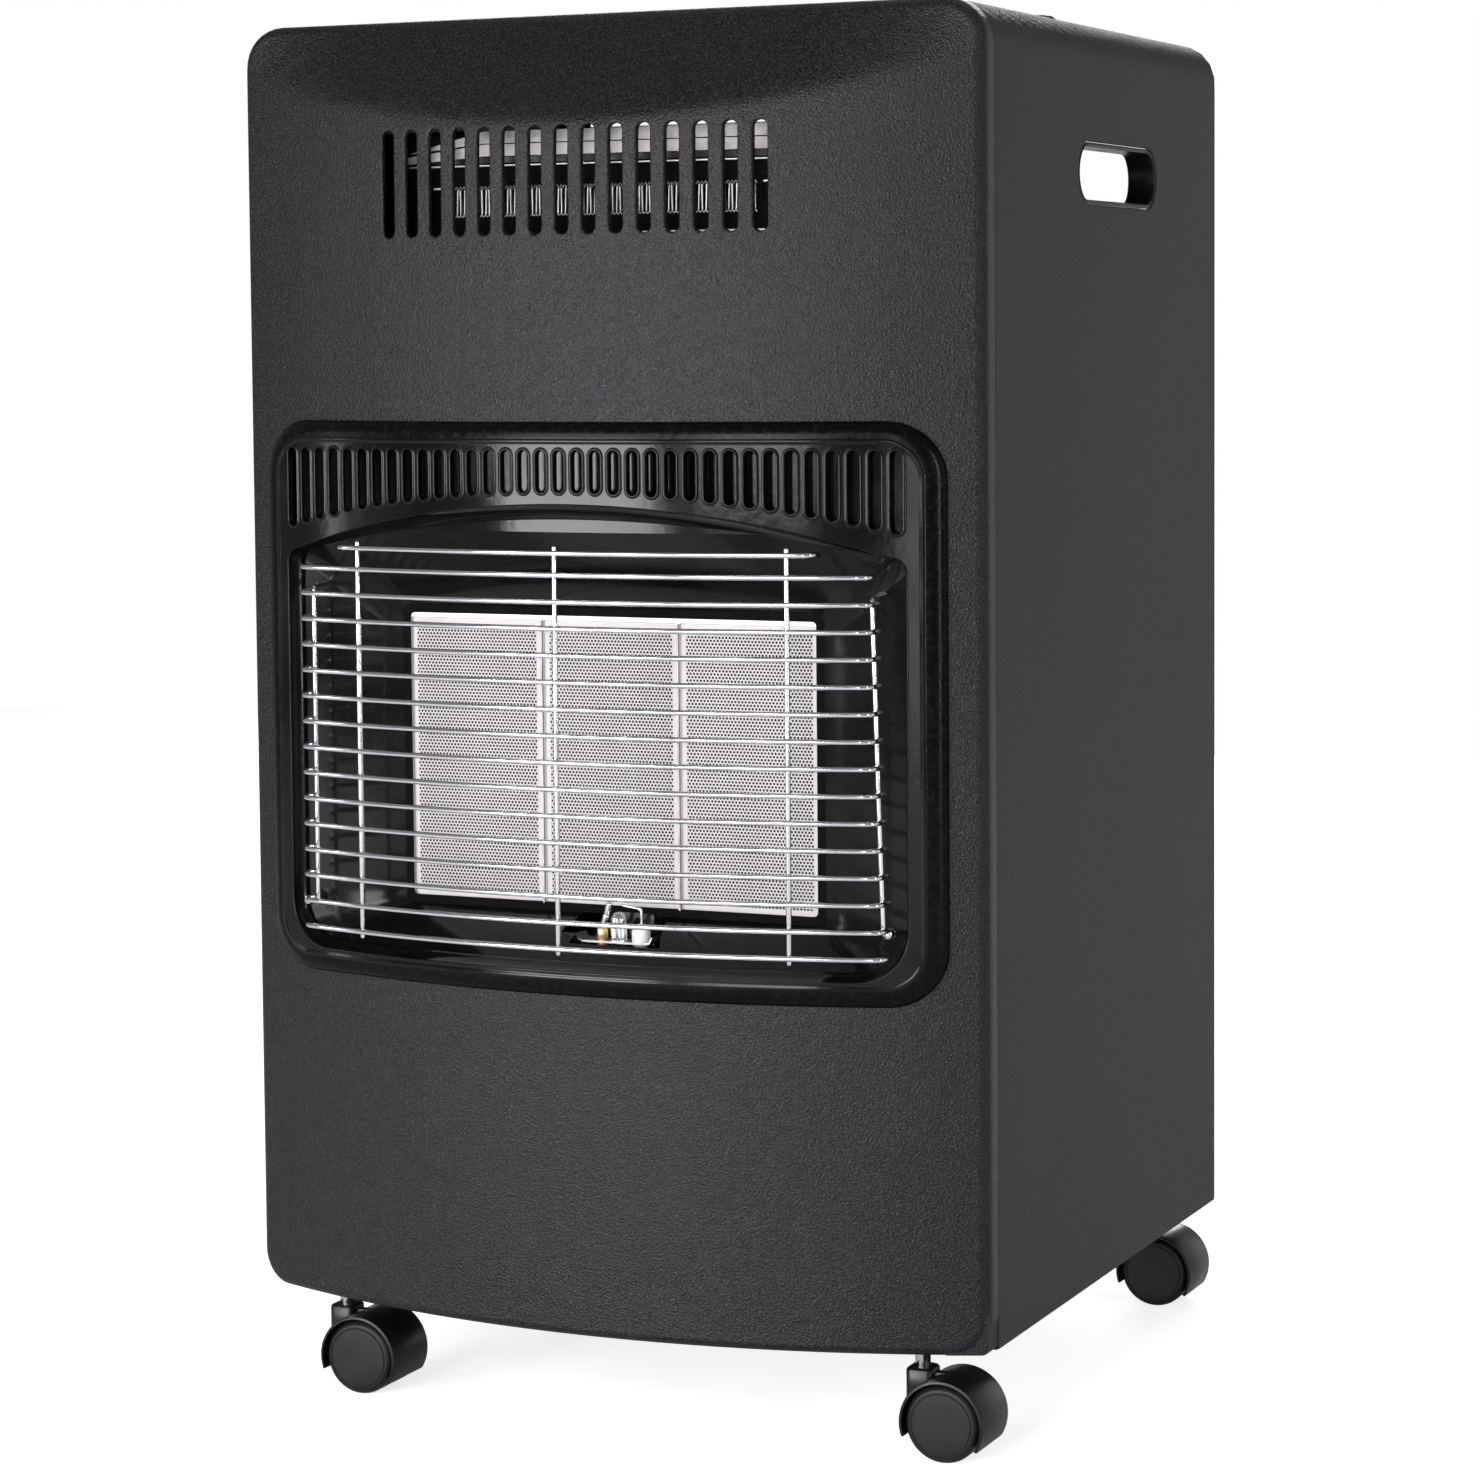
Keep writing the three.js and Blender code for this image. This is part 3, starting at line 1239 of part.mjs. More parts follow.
// ---------------------------------------------------------------- put it together
add("front_panel", frontPanel(), texturedBlack);
add("cabinet_wrap", cabinetWrap(), texturedBlack);
add("handle_liner_left", handleLiner(-1), blackPlastic);
add("handle_liner_right", handleLiner(1), blackPlastic);
add("base_tray", baseTray(), texturedBlack);
add("rear_cover", rearCover(), texturedBlack);
add("burner_bezel", burnerBezel(), glossEnamel);
add("reflector", reflector(), glossEnamel);
add("burner_frame", burnerFrame(), burnerSteel);
add("wire_guard", wireGuard(), brightChrome);
plaqueMiddles.forEach((x, i) => {
  add(`plaque_${plaqueNames[i]}`, plaque(x), ceramic);
  add(`burner_body_${plaqueNames[i]}`, burnerBody(x), burnerSteel);
  add(`injector_${plaqueNames[i]}`, injector(x), brass);
});
add("gas_manifold", gasManifold(), galvanised);
add("pilot_bracket", pilotBracket(), galvanised);
add("pilot_burner", pilotBurner(), brightChrome);
add("thermocouple", thermocouple(), brass);
add("electrode_insulator", electrodeInsulator(), whiteCeramic);
add("electrode_wire", electrodeWire(), brightChrome);
add("compartment_shield", compartmentShield(), galvanised);
add("heat_shield", heatShield(), galvanised);
add("control_well", controlWell(), blackPlastic);
add("gas_valve", gasValve(), castAlloy);
add("valve_spindle", valveSpindle(), brass);
add("control_knob", controlKnob(), blackPlastic);
add("piezo_body", piezoBody(), blackPlastic);
add("piezo_button", piezoButton(), redPlastic);
add("hose_inlet", hoseInlet(), brass);
add("supply_pipe", supplyPipe(), copper);
add("pilot_pipe", pilotPipe(), copper);
add("thermocouple_lead", thermocoupleLead(), copper);
add("ignition_lead", ignitionLead(), silicone);
addCasters();

export default heater;
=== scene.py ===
"""Looks of a portable gas cabinet heater: detailed pieces, finishes, stage, lights and camera."""

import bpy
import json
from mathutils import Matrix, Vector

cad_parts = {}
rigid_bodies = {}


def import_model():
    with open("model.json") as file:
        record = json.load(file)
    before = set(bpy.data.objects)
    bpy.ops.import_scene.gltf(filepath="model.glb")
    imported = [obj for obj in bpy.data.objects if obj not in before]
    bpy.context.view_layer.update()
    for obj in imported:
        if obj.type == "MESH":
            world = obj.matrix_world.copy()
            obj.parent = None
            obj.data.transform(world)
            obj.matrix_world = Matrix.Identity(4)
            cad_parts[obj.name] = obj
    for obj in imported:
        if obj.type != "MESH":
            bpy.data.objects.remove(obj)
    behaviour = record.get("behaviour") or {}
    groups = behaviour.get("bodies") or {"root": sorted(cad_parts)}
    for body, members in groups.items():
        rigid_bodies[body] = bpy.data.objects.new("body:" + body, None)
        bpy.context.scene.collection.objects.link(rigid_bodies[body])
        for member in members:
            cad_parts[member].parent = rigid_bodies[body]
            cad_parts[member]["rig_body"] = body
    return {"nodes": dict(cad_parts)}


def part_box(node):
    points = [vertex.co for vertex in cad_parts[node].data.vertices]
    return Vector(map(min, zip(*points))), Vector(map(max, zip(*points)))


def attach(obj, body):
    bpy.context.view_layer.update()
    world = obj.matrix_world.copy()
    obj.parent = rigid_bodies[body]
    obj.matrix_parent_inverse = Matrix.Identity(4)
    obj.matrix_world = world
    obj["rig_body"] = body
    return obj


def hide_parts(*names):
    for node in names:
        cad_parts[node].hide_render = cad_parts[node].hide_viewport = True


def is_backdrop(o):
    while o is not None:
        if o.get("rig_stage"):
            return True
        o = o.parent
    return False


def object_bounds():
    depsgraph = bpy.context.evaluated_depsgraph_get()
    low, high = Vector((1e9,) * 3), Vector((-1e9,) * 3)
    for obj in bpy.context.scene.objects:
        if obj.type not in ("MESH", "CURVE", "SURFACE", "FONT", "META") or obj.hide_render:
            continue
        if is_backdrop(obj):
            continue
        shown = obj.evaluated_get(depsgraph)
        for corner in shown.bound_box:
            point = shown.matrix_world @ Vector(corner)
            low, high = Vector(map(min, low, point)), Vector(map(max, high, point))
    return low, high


bl_info = {
    "name": "Gas Cabinet Heater",
    "version": (1, 0, 0),
    "blender": (4, 5, 0),
    "location": "View3D > Sidebar > Heater",
    "description": "Builds a portable gas cabinet heater round its packed frame",
    "category": "Add Mesh",
}

import json
import math

import bpy
import numpy as np
from mathutils import Matrix, Vector
from mathutils.geometry import delaunay_2d_cdt

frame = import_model()
CAD_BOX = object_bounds()

PLAQUES = ("left", "centre", "right")
CASTERS = ("front_left", "front_right", "rear_left", "rear_right")

# How far apart points lie on a hole's or a slot's straight runs, and in a sheet's field.
HOLE_STEP = 0.006
FIELD_STEP = 0.0065

# The photograph's camera: its frame and focal length in pixels, the row of its optical centre,
# its place in metres, and its turn, tilt and roll in degrees.
PHOTO_PIXELS = 1480.0
FOCAL_PIXELS = 3859.0
CENTRE_ROW = 600.0
CAMERA_PLACE = (0.87736, -1.94019, 0.56833)
CAMERA_TURNS = (24.213, 3.944, 0.470)

# Each light's name, place, target, size and power in watts.
LIGHTS = (
    ("key", (-1.2, -2.85, 0.85), (0, -0.15, 0.42), (1.1, 1.5), 36),
    ("key low", (-1.26, -2.93, 0.36), (0, -0.1, 0.36), (1.2, 0.9), 48),
    ("front", (0.0, -3.1, 0.96), (0, -0.1, 0.42), (0.8, 1.2), 38),
    ("front right", (1.15, -2.95, 0.82), (0, -0.1, 0.42), (0.4, 1.6), 10),
    ("strip left", (-2.7, -1.6, 0.7), (0, -0.1, 0.4), (0.1, 1.2), 4),
    ("strip right", (2.5, -1.0, 0.8), (0, -0.1, 0.4), (0.1, 1.4), 15),
    ("side", (3.1, 0.9, 1.0), (0.2, 0, 0.4), (2.0, 1.8), 5.5),
    ("side sheen", (1.38, 3.0, 0.72), (0.2, -0.1, 0.42), (1.6, 1.4), 4),
    ("rear", (-1.2, 3.2, 1.3), (0, 0.1, 0.4), (2.0, 1.6), 48),
    ("top", (0.3, 0.9, 3.4), (0, 0.1, 0.4), (1.6, 1.6), 10),
)


# ---------------------------------------------------------------- sizes
def length(name, value, description):
    """A length property in metres."""
    return bpy.props.FloatProperty(
        name=name, description=description, default=value, min=0.0, unit="LENGTH"
    )


def count(name, value, description):
    """A whole-number property."""
    return bpy.props.IntProperty(name=name, description=description, default=value, min=1)


class PanelSizes(bpy.types.PropertyGroup):
    """Sizes of the bowed front panel."""

    bow: length("Bow", 0.044, "How far the front bows out at its middle")
    step: length("Step", 0.014, "Depth of the panel's side flange")
    edge: length("Edge", 0.005, "Rounding of the panel's edges")
    top_corner: length("Top corners", 0.022, "Corner radius at the top")
    low_corner: length("Low corners", 0.018, "Corner radius at the bottom")
    crease: length("Crease", 0.0563, "Drop of the leaning facet's crease at the middle")
    crease_end: length("Crease ends", 0.025, "Drop of the crease at the panel's sides")
    crease_soft: length("Crease softness", 0.005, "Width over which the crease is rounded")
    vent_count: count("Vents", 15, "Number of vents")
    vent_pitch: length("Vent pitch", 0.01494, "Distance between vents")
    vent_width: length("Vent width", 0.007, "Width of a vent")
    vent_height: length("Vent height", 0.0545, "Height of a vent")
    vent_drop: length("Vent drop", 0.0588, "Cabinet top to the vents")


class BezelSizes(bpy.types.PropertyGroup):
    """Sizes of the enamelled burner bezel."""

    proud: length("Proud", 0.0056, "How far the bezel stands off the panel")
    roll: length("Roll", 0.0085, "Width of the rolled outer edge")
    bead: length("Bead", 0.0005, "Height of the bead inside the rolled edge")
    corner: length("Corners", 0.029, "Outer corner radius")
    slot_count: count("Slots", 35, "Number of slots over the burner")
    slot_pitch: length("Slot pitch", 0.01008, "Distance between slots")
    slot_width: length("Slot width", 0.0056, "Width of a slot")
    slot_drop: length("Slot drop", 0.2219, "Cabinet top to the slots")
    slot_short: length("Short slot", 0.021, "Height of the middle slot")
    slot_long: length("Long slot", 0.041, "Height of the outer slots")
    mouth_half: length("Mouth half width", 0.172, "Half width of the burner opening")
    mouth_drop: length("Mouth drop", 0.257, "Cabinet top to the opening's arch")
    mouth_fall: length("Arch fall", 0.018, "How much lower the arch is at its ends")
    mouth_height: length("Mouth height", 0.2255, "Height of the opening at its middle")
    mouth_corner: length("Mouth corners", 0.022, "Corner radius at the opening's foot")
    cove: length("Cove", 0.0085, "Height of the cove over the arch")
    cove_fall: length("Cove fall", 0.026, "How much lower the cove's upper lip is at its ends")
    depth: length("Collar depth", 0.0115, "Depth of the opening's collar")


class GuardSizes(bpy.types.PropertyGroup):
    """Sizes of the wire guard."""

    wire: length("Wire", 0.0028, "Wire diameter")
    proud: length("Proud", 0.014, "How far the guard stands off the panel")
    half: length("Half width", 0.161, "Half width of the guard")
    rows: count("Rows", 15, "Number of long wires")
    roof: length("Roof", 0.027, "Arch to the first long wire")
    floor: length("Floor", 0.0095, "Lowest wire to the opening's foot")
    top_gap: length("Top gap", 0.011, "Short top wire to the first long one")
    top_inset: length("Top inset", 0.0265, "How much shorter the top wire is at each end")
    splay: length("Splay", 0.006, "How much farther right the lowest wire ends than the highest")
    leg: length("Legs", 0.012, "How far the wires' ends are bent back to the side rails")
    upright: length("Uprights", 0.121, "Middle to the outer uprights")
    bend: length("Bend", 0.006, "Radius of the wires' bends")


class BurnerSizes(bpy.types.PropertyGroup):
    """Sizes of the burners' plaques and of the pilot group."""

    hole_pitch: length("Hole pitch", 0.00193, "Distance between holes in a row")
    row_pitch: length("Row pitch", 0.00172, "Distance between rows of holes")
    hole: length("Hole", 0.0013, "Hole diameter")
    margin: length("Margin", 0.0032, "Plain margin round the holes")
    strip: length("Strip", 0.0034, "Bright flange over the plaques")
    border: length("Border", 0.0006, "Width of the frame over a plaque's outer edge")
    divider: length("Divider", 0.0007, "Width of the frame over a plaque's inner edge")
    insulator: length("Insulator", 0.0096, "Diameter of the electrode's insulator")
    probe: length("Probe", 0.0032, "Diameter of the thermocouple's probe")
    nut: length("Nut", 0.0062, "Diameter of the thermocouple's nut")
    shelf: length("Shelf", 0.0009, "Thickness of the pilot bracket's shelf")


class ShieldSizes(bpy.types.PropertyGroup):
    """Sizes of the crimped heat shield that shows through the vents."""

    wall: length("Wall", 0.0498, "Panel's face to the front of the shield's wall")
    band: length("Band", 0.0452, "Panel's face to the front of the bright band")
    band_drop: length("Band drop", 0.0585, "Cabinet top to the band")
    band_tall: length("Band height", 0.0128, "Height of the band")
    seam_drop: length("Seam drop", 0.0761, "Cabinet top to the seam under the band")
    crimp_drop: length("Crimp drop", 0.0874, "Cabinet top to the upper lip of the crimps")
    crimp_tall: length("Crimp height", 0.0146, "Height of the crimps")
    crimp_pitch: length("Crimp pitch", 0.0021, "Distance between crimps")
    crimp_half: length("Crimp half width", 0.0862, "Half width of the row of crimps")


class CasterSizes(bpy.types.PropertyGroup):
    """Sizes of the twin-wheel casters."""

    trail: length("Trail", 0.0164, "Stem to axle")
    wheel: length("Wheel radius", 0.02, "Radius of a wheel")
    hood: length("Hood radius", 0.0227, "Outer radius of the hood")
    wall: length("Hood wall", 0.0015, "Thickness of the hood")
    width: length("Width", 0.038, "Width over both wheels")


# ---------------------------------------------------------------- shader expressions
class Shade:
    """A socket in a node tree. Arithmetic on it adds Math nodes, and make() adds any node."""

    def __init__(self, tree, socket):
        self.tree = tree
        self.socket = socket

    def make(self, kind, inputs, out=0, **settings):
        """Adds one node, sets or links its inputs, and returns one of its outputs."""
        node = self.tree.nodes.new(kind)
        for name, value in settings.items():
            setattr(node, name, value)
        for key, value in inputs.items():
            if isinstance(value, Shade):
                self.tree.links.new(value.socket, node.inputs[key])
            else:
                node.inputs[key].default_value = value
        return Shade(self.tree, node.outputs[out])

    def math(self, operation, *others):
        """A Math node over this value and others, which are sockets or numbers."""
        return self.make("ShaderNodeMath", dict(enumerate((self, *others))), operation=operation)

    def __add__(self, other):
        return self.math("ADD", other)

    def __sub__(self, other):
        return self.math("SUBTRACT", other)

    def __mul__(self, other):
        return self.math("MULTIPLY", other)

    def __truediv__(self, other):
        return self.math("DIVIDE", other)

    def __pow__(self, other):
        return self.math("POWER", other)

    def ramp(self, low, high, start=0.0, end=1.0):
        """Goes smoothly from start to end as this value goes from low to high."""
        inputs = {0: self, 1: low, 2: high, 3: start, 4: end}
        return self.make("ShaderNodeMapRange", inputs, interpolation_type="SMOOTHSTEP")

    def mix(self, first, second):
        """The first colour where this value is 0, the second where it is 1."""
        return self.make("ShaderNodeMix", {0: self, 6: first, 7: second}, out=2, data_type="RGBA")

    def axis(self, index):
        """One component of a vector."""
        return self.make("ShaderNodeSeparateXYZ", {0: self}, out=index)

    def noise(self, scale, detail=3.0, roughness=0.5, stretch=(1, 1, 1)):
        """Noise over this vector, with scale in features per metre."""
        place = self.make("ShaderNodeMapping", {"Vector": self, "Scale": stretch})
        inputs = {"Vector": place, "Scale": scale, "Detail": detail, "Roughness": roughness}
        return self.make("ShaderNodeTexNoise", inputs)

    def cells(self, scale):
        """A random colour for each Voronoi cell over this vector."""
        return self.make("ShaderNodeTexVoronoi", {"Vector": self, "Scale": scale}, out=1)

    def bump(self, distance, strength=1.0):
        """A normal that follows this height."""
        inputs = {"Height": self, "Distance": distance, "Strength": strength}
        return self.make("ShaderNodeBump", inputs)


def rgb(*values):
    """A colour for a socket; one value makes a grey."""
    values = values * 3 if len(values) == 1 else values
    return (*values, 1.0)


class Finish:
    """A material being made: its coordinates, and what its surface shader takes."""

    def __init__(self, name, color=(0.5, 0.5, 0.5), **constants):
        self.material = bpy.data.materials.new(name)
        self.material.use_nodes = True
        tree = self.material.node_tree
        self.shader = tree.nodes["Principled BSDF"]
        self.place = Shade(tree, tree.nodes.new("ShaderNodeTexCoord").outputs["Object"])
        self.material.diffuse_color = rgb(*color)
        self.put(**{"Base Color": rgb(*color)}, **constants)

    def put(self, **inputs):
        """Sets or links inputs of the surface shader; _ in a name stands for a space."""
        for key, value in inputs.items():
            socket = self.shader.inputs[key.replace("_", " ")]
            if isinstance(value, Shade):
                value.tree.links.new(value.socket, socket)
            else:
                socket.default_value = value
        return self


def powder_coat(name, color, light, grain, rough=0.5):
    """Fine-textured powder coat: small rounded grains, pale flecks and slightly uneven sheen."""
    made = Finish(name, color, Roughness=rough, IOR=1.45, Specular_IOR_Level=0.34,
                  Specular_Tint=rgb(1.0, 0.965, 1.03))
    grains = made.place.noise(grain, 2.0, 0.7)
    fine = made.place.noise(grain * 1.7, 1.0, 0.5)
    patches = made.place.noise(9.0, 2.0)
    flecks = fine.ramp(0.5, 0.68) * 0.9 + patches.ramp(0.3, 0.7) * 0.06
    rough_here = fine.ramp(0.3, 0.7, rough - 0.08, rough + 0.08) + patches * 0.03
    return made.put(
        Base_Color=flecks.mix(rgb(*color), rgb(*light)),
        Roughness=rough_here,
        Normal=(grains + fine * 0.7).bump(0.0006, 0.9),
    ).material


def enamel(name):
    """Glossy black vitreous enamel: a faint orange peel, soft pooling and a few fine specks."""
    made = Finish(name, (0.004, 0.004, 0.0045), Roughness=0.14, IOR=1.5, Specular_IOR_Level=0.19)
    peel = made.place.noise(160.0, 2.0, 0.5)
    slow = made.place.noise(22.0, 2.0, 0.5)
    dust = made.place.noise(1400.0, 1.0).ramp(0.68, 0.76)
    paler = slow.ramp(0.3, 0.7) * 0.5 + dust * 0.5
    return made.put(
        Base_Color=paler.mix(rgb(0.0025, 0.0024, 0.0028), rgb(0.009)),
        Roughness=slow.ramp(0.3, 0.7, 0.1, 0.18) + dust * 0.2,
        Normal=(peel + slow * 2.5).bump(0.00016, 0.3),
    ).material


def metal(name, color, rough, grain=900.0, stretch=(1, 1, 1), depth=0.00004, tarnish=0.25):
    """Bare or plated metal with drawn or cast grain, and dull patches."""
    made = Finish(name, color, Metallic=1.0, Roughness=rough)
    lines = made.place.noise(grain, 3.0, 0.6, stretch)
    patches = made.place.noise(45.0, 3.0, 0.6)
    dull = tuple(c * 0.6 for c in color)
    tarnished = patches.ramp(0.42, 0.75) * tarnish + lines * 0.1
    return made.put(
        Base_Color=tarnished.mix(rgb(*color), rgb(*dull)),
        Roughness=patches.ramp(0.35, 0.75, rough, rough + 0.12) + lines * 0.05,
        Normal=lines.bump(depth, 0.5),
    ).material


def zinc(name):
    """Zinc-coated sheet: spangle in flat, differently bright crystals with fine scratches."""
    made = Finish(name, (0.62, 0.63, 0.65), Metallic=1.0, Roughness=0.32)
    wobble = made.place.noise(70.0)
    shift = wobble.make("ShaderNodeVectorMath", {0: wobble, 3: 0.006}, operation="SCALE")
    bent = shift.make("ShaderNodeVectorMath", {0: made.place, 1: shift}, operation="ADD")
    crystal = bent.cells(170.0).axis(0)
    scratches = made.place.noise(800.0, 2.0, 0.6, (1, 1, 0.05))
    return made.put(
        Base_Color=crystal.mix(rgb(0.5, 0.51, 0.53), rgb(0.78, 0.79, 0.81)),
        Roughness=crystal.ramp(0.0, 1.0, 0.22, 0.42) + scratches * 0.08,
        Normal=(crystal * 0.6 + scratches * 0.3).bump(0.00004, 0.4),
    ).material


def plastic(name, color, rough, grain=1500.0, depth=0.00005):
    """Moulded plastic: fine spark-eroded grain and slightly uneven gloss."""
    made = Finish(name, color, Roughness=rough, IOR=1.47, Specular_IOR_Level=0.3)
    grains = made.place.noise(grain, 2.0, 0.6)
    flow = made.place.noise(35.0, 2.0)
    lighter = tuple(c * 1.5 + 0.003 for c in color)
    paler = flow.ramp(0.35, 0.7) * 0.5 + grains * 0.15
    return made.put(
        Base_Color=paler.mix(rgb(*color), rgb(*lighter)),
        Roughness=flow.ramp(0.3, 0.7, rough - 0.05, rough + 0.07) + grains * 0.06,
        Normal=grains.bump(depth, 0.5),
    ).material


def matte(name, color, sheen, rough=0.7):
    """Near-black coat that hardly reflects, used as painted shade: recessed sheet, and enamel in
    deep shade.
    """
    made = Finish(name, color, Roughness=rough, Specular_IOR_Level=sheen)
    dust = made.place.noise(300.0, 3.0, 0.6)
    lighter = tuple(c * 2.5 for c in color)
    return made.put(
        Base_Color=dust.ramp(0.45, 0.75).mix(rgb(*color), rgb(*lighter)),
        Roughness=dust.ramp(0.3, 0.7, rough - 0.05, rough + 0.1),
        Normal=dust.bump(0.00005, 0.4),
    ).material


def glaze(name):
    """White glazed ceramic with pale pinholes."""
    made = Finish(name, (0.88, 0.87, 0.84), Roughness=0.18, Coat_Weight=0.5)
    pools = made.place.noise(400.0, 2.0)
    return made.put(
        Base_Color=pools.ramp(0.4, 0.7).mix(rgb(0.9, 0.89, 0.86), rgb(0.8, 0.78, 0.73)),
        Roughness=pools.ramp(0.3, 0.7, 0.14, 0.3),
        Normal=pools.bump(0.00004, 0.4),
    ).material


def perforated(name, sizes, width, height, centre):
    """Fired ceramic plaque with staggered rows of small holes, painted near-black as shade, inside
    a plain margin.

    With rows r = z / row pitch and columns c = x / hole pitch, where odd rows are moved half a
    pitch, a point is in a hole where its distance from the nearest (c, r) centre is under the
    hole's radius, and inside the margins.
    """
    made = Finish(name, (0.9, 0.89, 0.87), Roughness=0.85)
    x = made.place.axis(0) - centre[0]
    z = made.place.axis(2) - centre[1]
    rows = z / sizes.row_pitch
    row = rows.math("ROUND")
    odd = row.math("PINGPONG", 1.0)
    across = x / sizes.hole_pitch + odd * 0.5
    dx = (across - across.math("ROUND")) * sizes.hole_pitch
    dz = z - row * sizes.row_pitch
    distance = (dx * dx + dz * dz) ** 0.5
    inside_x, inside_z = (
        along.math("ABSOLUTE").ramp(reach - sizes.margin, reach - sizes.margin + 0.0003, 1.0, 0.0)
        for along, reach in ((x, width / 2), (z, height / 2))
    )
    hole = distance.ramp(sizes.hole * 0.42, sizes.hole * 0.58, 1.0, 0.0) * (inside_x * inside_z)
    grit = made.place.noise(2600.0, 2.0)
    scorch = made.place.noise(26.0, 3.0, 0.6)
    fired = scorch.ramp(0.5, 0.85) * 0.4 + grit * 0.12
    body = fired.mix(rgb(0.64, 0.627, 0.632), rgb(0.56, 0.54, 0.53))
    return made.put(
        # Painted shade: each hole is coloured near-black, as the shade inside it.
        Base_Color=hole.mix(body, rgb(0.012, 0.01, 0.011)),
        Roughness=grit.ramp(0.3, 0.7, 0.8, 0.95),
        Normal=(grit * 0.1 - hole).bump(0.0004, 0.7),
    ).material


def seen(tree):
    """1 for rays from the camera or through glass, a part of it for rays off gloss, else 0."""
    paths = tree.nodes.new("ShaderNodeLightPath")
    kinds = ("Camera", "Transmission", "Glossy")
    camera, clear, gloss = (Shade(tree, paths.outputs[f"Is {kind} Ray"]) for kind in kinds)
    return camera.math("MAXIMUM", clear.math("MAXIMUM", gloss * 0.12))


# ---------------------------------------------------------------- numpy shapes
class Part:
    """Vertices (n, 3), faces, and known normals (n, 3), zero where the normal isn't known."""

    def __init__(self, points, faces, normals=None):
        self.points = np.asarray(points, float).reshape(-1, 3)
        self.faces = faces
        self.normals = np.zeros_like(self.points) if normals is None else normals


def quads(rows, columns, closed=True):
    """Faces between neighbouring rows of points; closed columns meet themselves again."""
    row = np.arange(rows - 1)
    column = np.arange(columns if closed else columns - 1)
    r, c = np.meshgrid(row, column, indexing="ij")
    r, c = r.ravel(), c.ravel()
    c2 = (c + 1) % columns
    near, far = r * columns, (r + 1) * columns
    return [tuple(f) for f in np.stack([near + c, near + c2, far + c2, far + c], 1).tolist()]


def loft(rings, caps=True):
    """A skin over rings (rows, columns, 3), closed at both ends by flat faces."""
    rings = np.asarray(rings, float)
    rows, columns = rings.shape[:2]
    faces = quads(rows, columns)
    if caps:
        faces.append(tuple(range(columns))[::-1])
        faces.append(tuple(range((rows - 1) * columns, rows * columns)))
    return Part(rings, faces)


def upright(outline, y):
    """An (x, z) outline in space, at depth y."""
    return np.stack([outline[:, 0], y + 0.0 * outline[:, 0], outline[:, 1]], 1)


def level(outline, z):
    """An (x, y) outline in space, at height z."""
    return np.column_stack([outline, np.full(len(outline), z)])


def plate(outline, y0, y1):
    """A flat plate with an (x, z) outline, from depth y0 to depth y1."""
    return loft([upright(outline, y0), upright(outline, y1)])


def lathe(profile, centre, axis="z", segments=32, flutes=0, depth=0.0):
    """A part turned about z or y from its profile [(radius, distance)].

    With flutes, r = radius (1 + depth cos(flutes a)).
    """
    profile = np.asarray(profile, float)
    angle = np.linspace(0, 2 * np.pi, segments, endpoint=False)
    radius = np.maximum(profile[:, :1], 1e-6) * (1.0 + depth * np.cos(flutes * angle))
    a, b = radius * np.cos(angle), radius * np.sin(angle)
    d = np.broadcast_to(profile[:, 1:], a.shape)
    order = {"y": (b, d, a), "z": (a, b, d)}[axis]
    return loft(np.stack(order, -1) + np.asarray(centre, float))


def smooth_path(corners, bend, steps=6):
    """Points along straight runs with each corner rounded by a quadratic curve."""
    corners = np.asarray(corners, float)
    path = [corners[0]]
    for before, here, after in zip(corners, corners[1:], corners[2:]):
        into, out = here - before, after - here
        reach = min(bend, np.linalg.norm(into) / 2.1, np.linalg.norm(out) / 2.1)
        start = here - into / np.linalg.norm(into) * reach
        end = here + out / np.linalg.norm(out) * reach
        t = np.linspace(0, 1, steps + 1)[:, None]
        path.extend((1 - t) ** 2 * start + 2 * t * (1 - t) * here + t**2 * end)
    path.append(corners[-1])
    return np.array(path)


def tube(path, radius, sides=12):
    """A round wire along a path, with rounded ends; rings turn as little as they can."""
    path = np.asarray(path, float)
    keep = np.r_[True, np.linalg.norm(np.diff(path, axis=0), axis=1) > 1e-7]
    path = path[keep]
    tangent = np.gradient(path, axis=0)
    tangent /= np.linalg.norm(tangent, axis=1, keepdims=True)
    side = np.cross(tangent[0], (0.31, 0.52, 0.79))
    angle = np.linspace(0, 2 * np.pi, sides, endpoint=False)
    rings = []
    for place, along in zip(path, tangent):
        side = side - along * (side @ along)
        side /= np.linalg.norm(side)
        other = np.cross(along, side)
        circle = np.outer(np.cos(angle), side) + np.outer(np.sin(angle), other)
        rings.append((place, along, circle))
    rows = [place + circle * radius for place, along, circle in rings]
    for k, sign in ((0, -1), (-1, 1)):
        place, along, circle = rings[k]
        cap = [place + along * sign * radius * sine + circle * radius * cosine
               for sine, cosine in ((0.38, 0.92), (0.71, 0.7), (0.92, 0.38))]
        rows = cap[::-1] + rows if k == 0 else rows + cap
    return loft(rows)


def rounded(a, b, width, height, radius, steps=6):
    """Outline of a rectangle with round corners, anticlockwise, as (n, 2) points."""
    radius = min(radius, width / 2 - 1e-5, height / 2 - 1e-5)
    corners = []
    for quarter, (sa, sb) in enumerate(((1, -1), (1, 1), (-1, 1), (-1, -1))):
        angle = np.linspace(-np.pi / 2, 0, steps + 1) + quarter * np.pi / 2
        ca, cb = a + sa * (width / 2 - radius), b + sb * (height / 2 - radius)
        corners.append(np.stack([ca + radius * np.cos(angle), cb + radius * np.sin(angle)], 1))
    return np.concatenate(corners)


def refine(outline, step):
    """The same closed outline with its long runs split, so that it can follow a curved sheet."""
    points = []
    for p, q in zip(outline, np.roll(outline, -1, axis=0)):
        parts = max(1, int(np.ceil(np.linalg.norm(q - p) / step)))
        points.extend(p + (q - p) * i / parts for i in range(parts))
    return np.array(points)


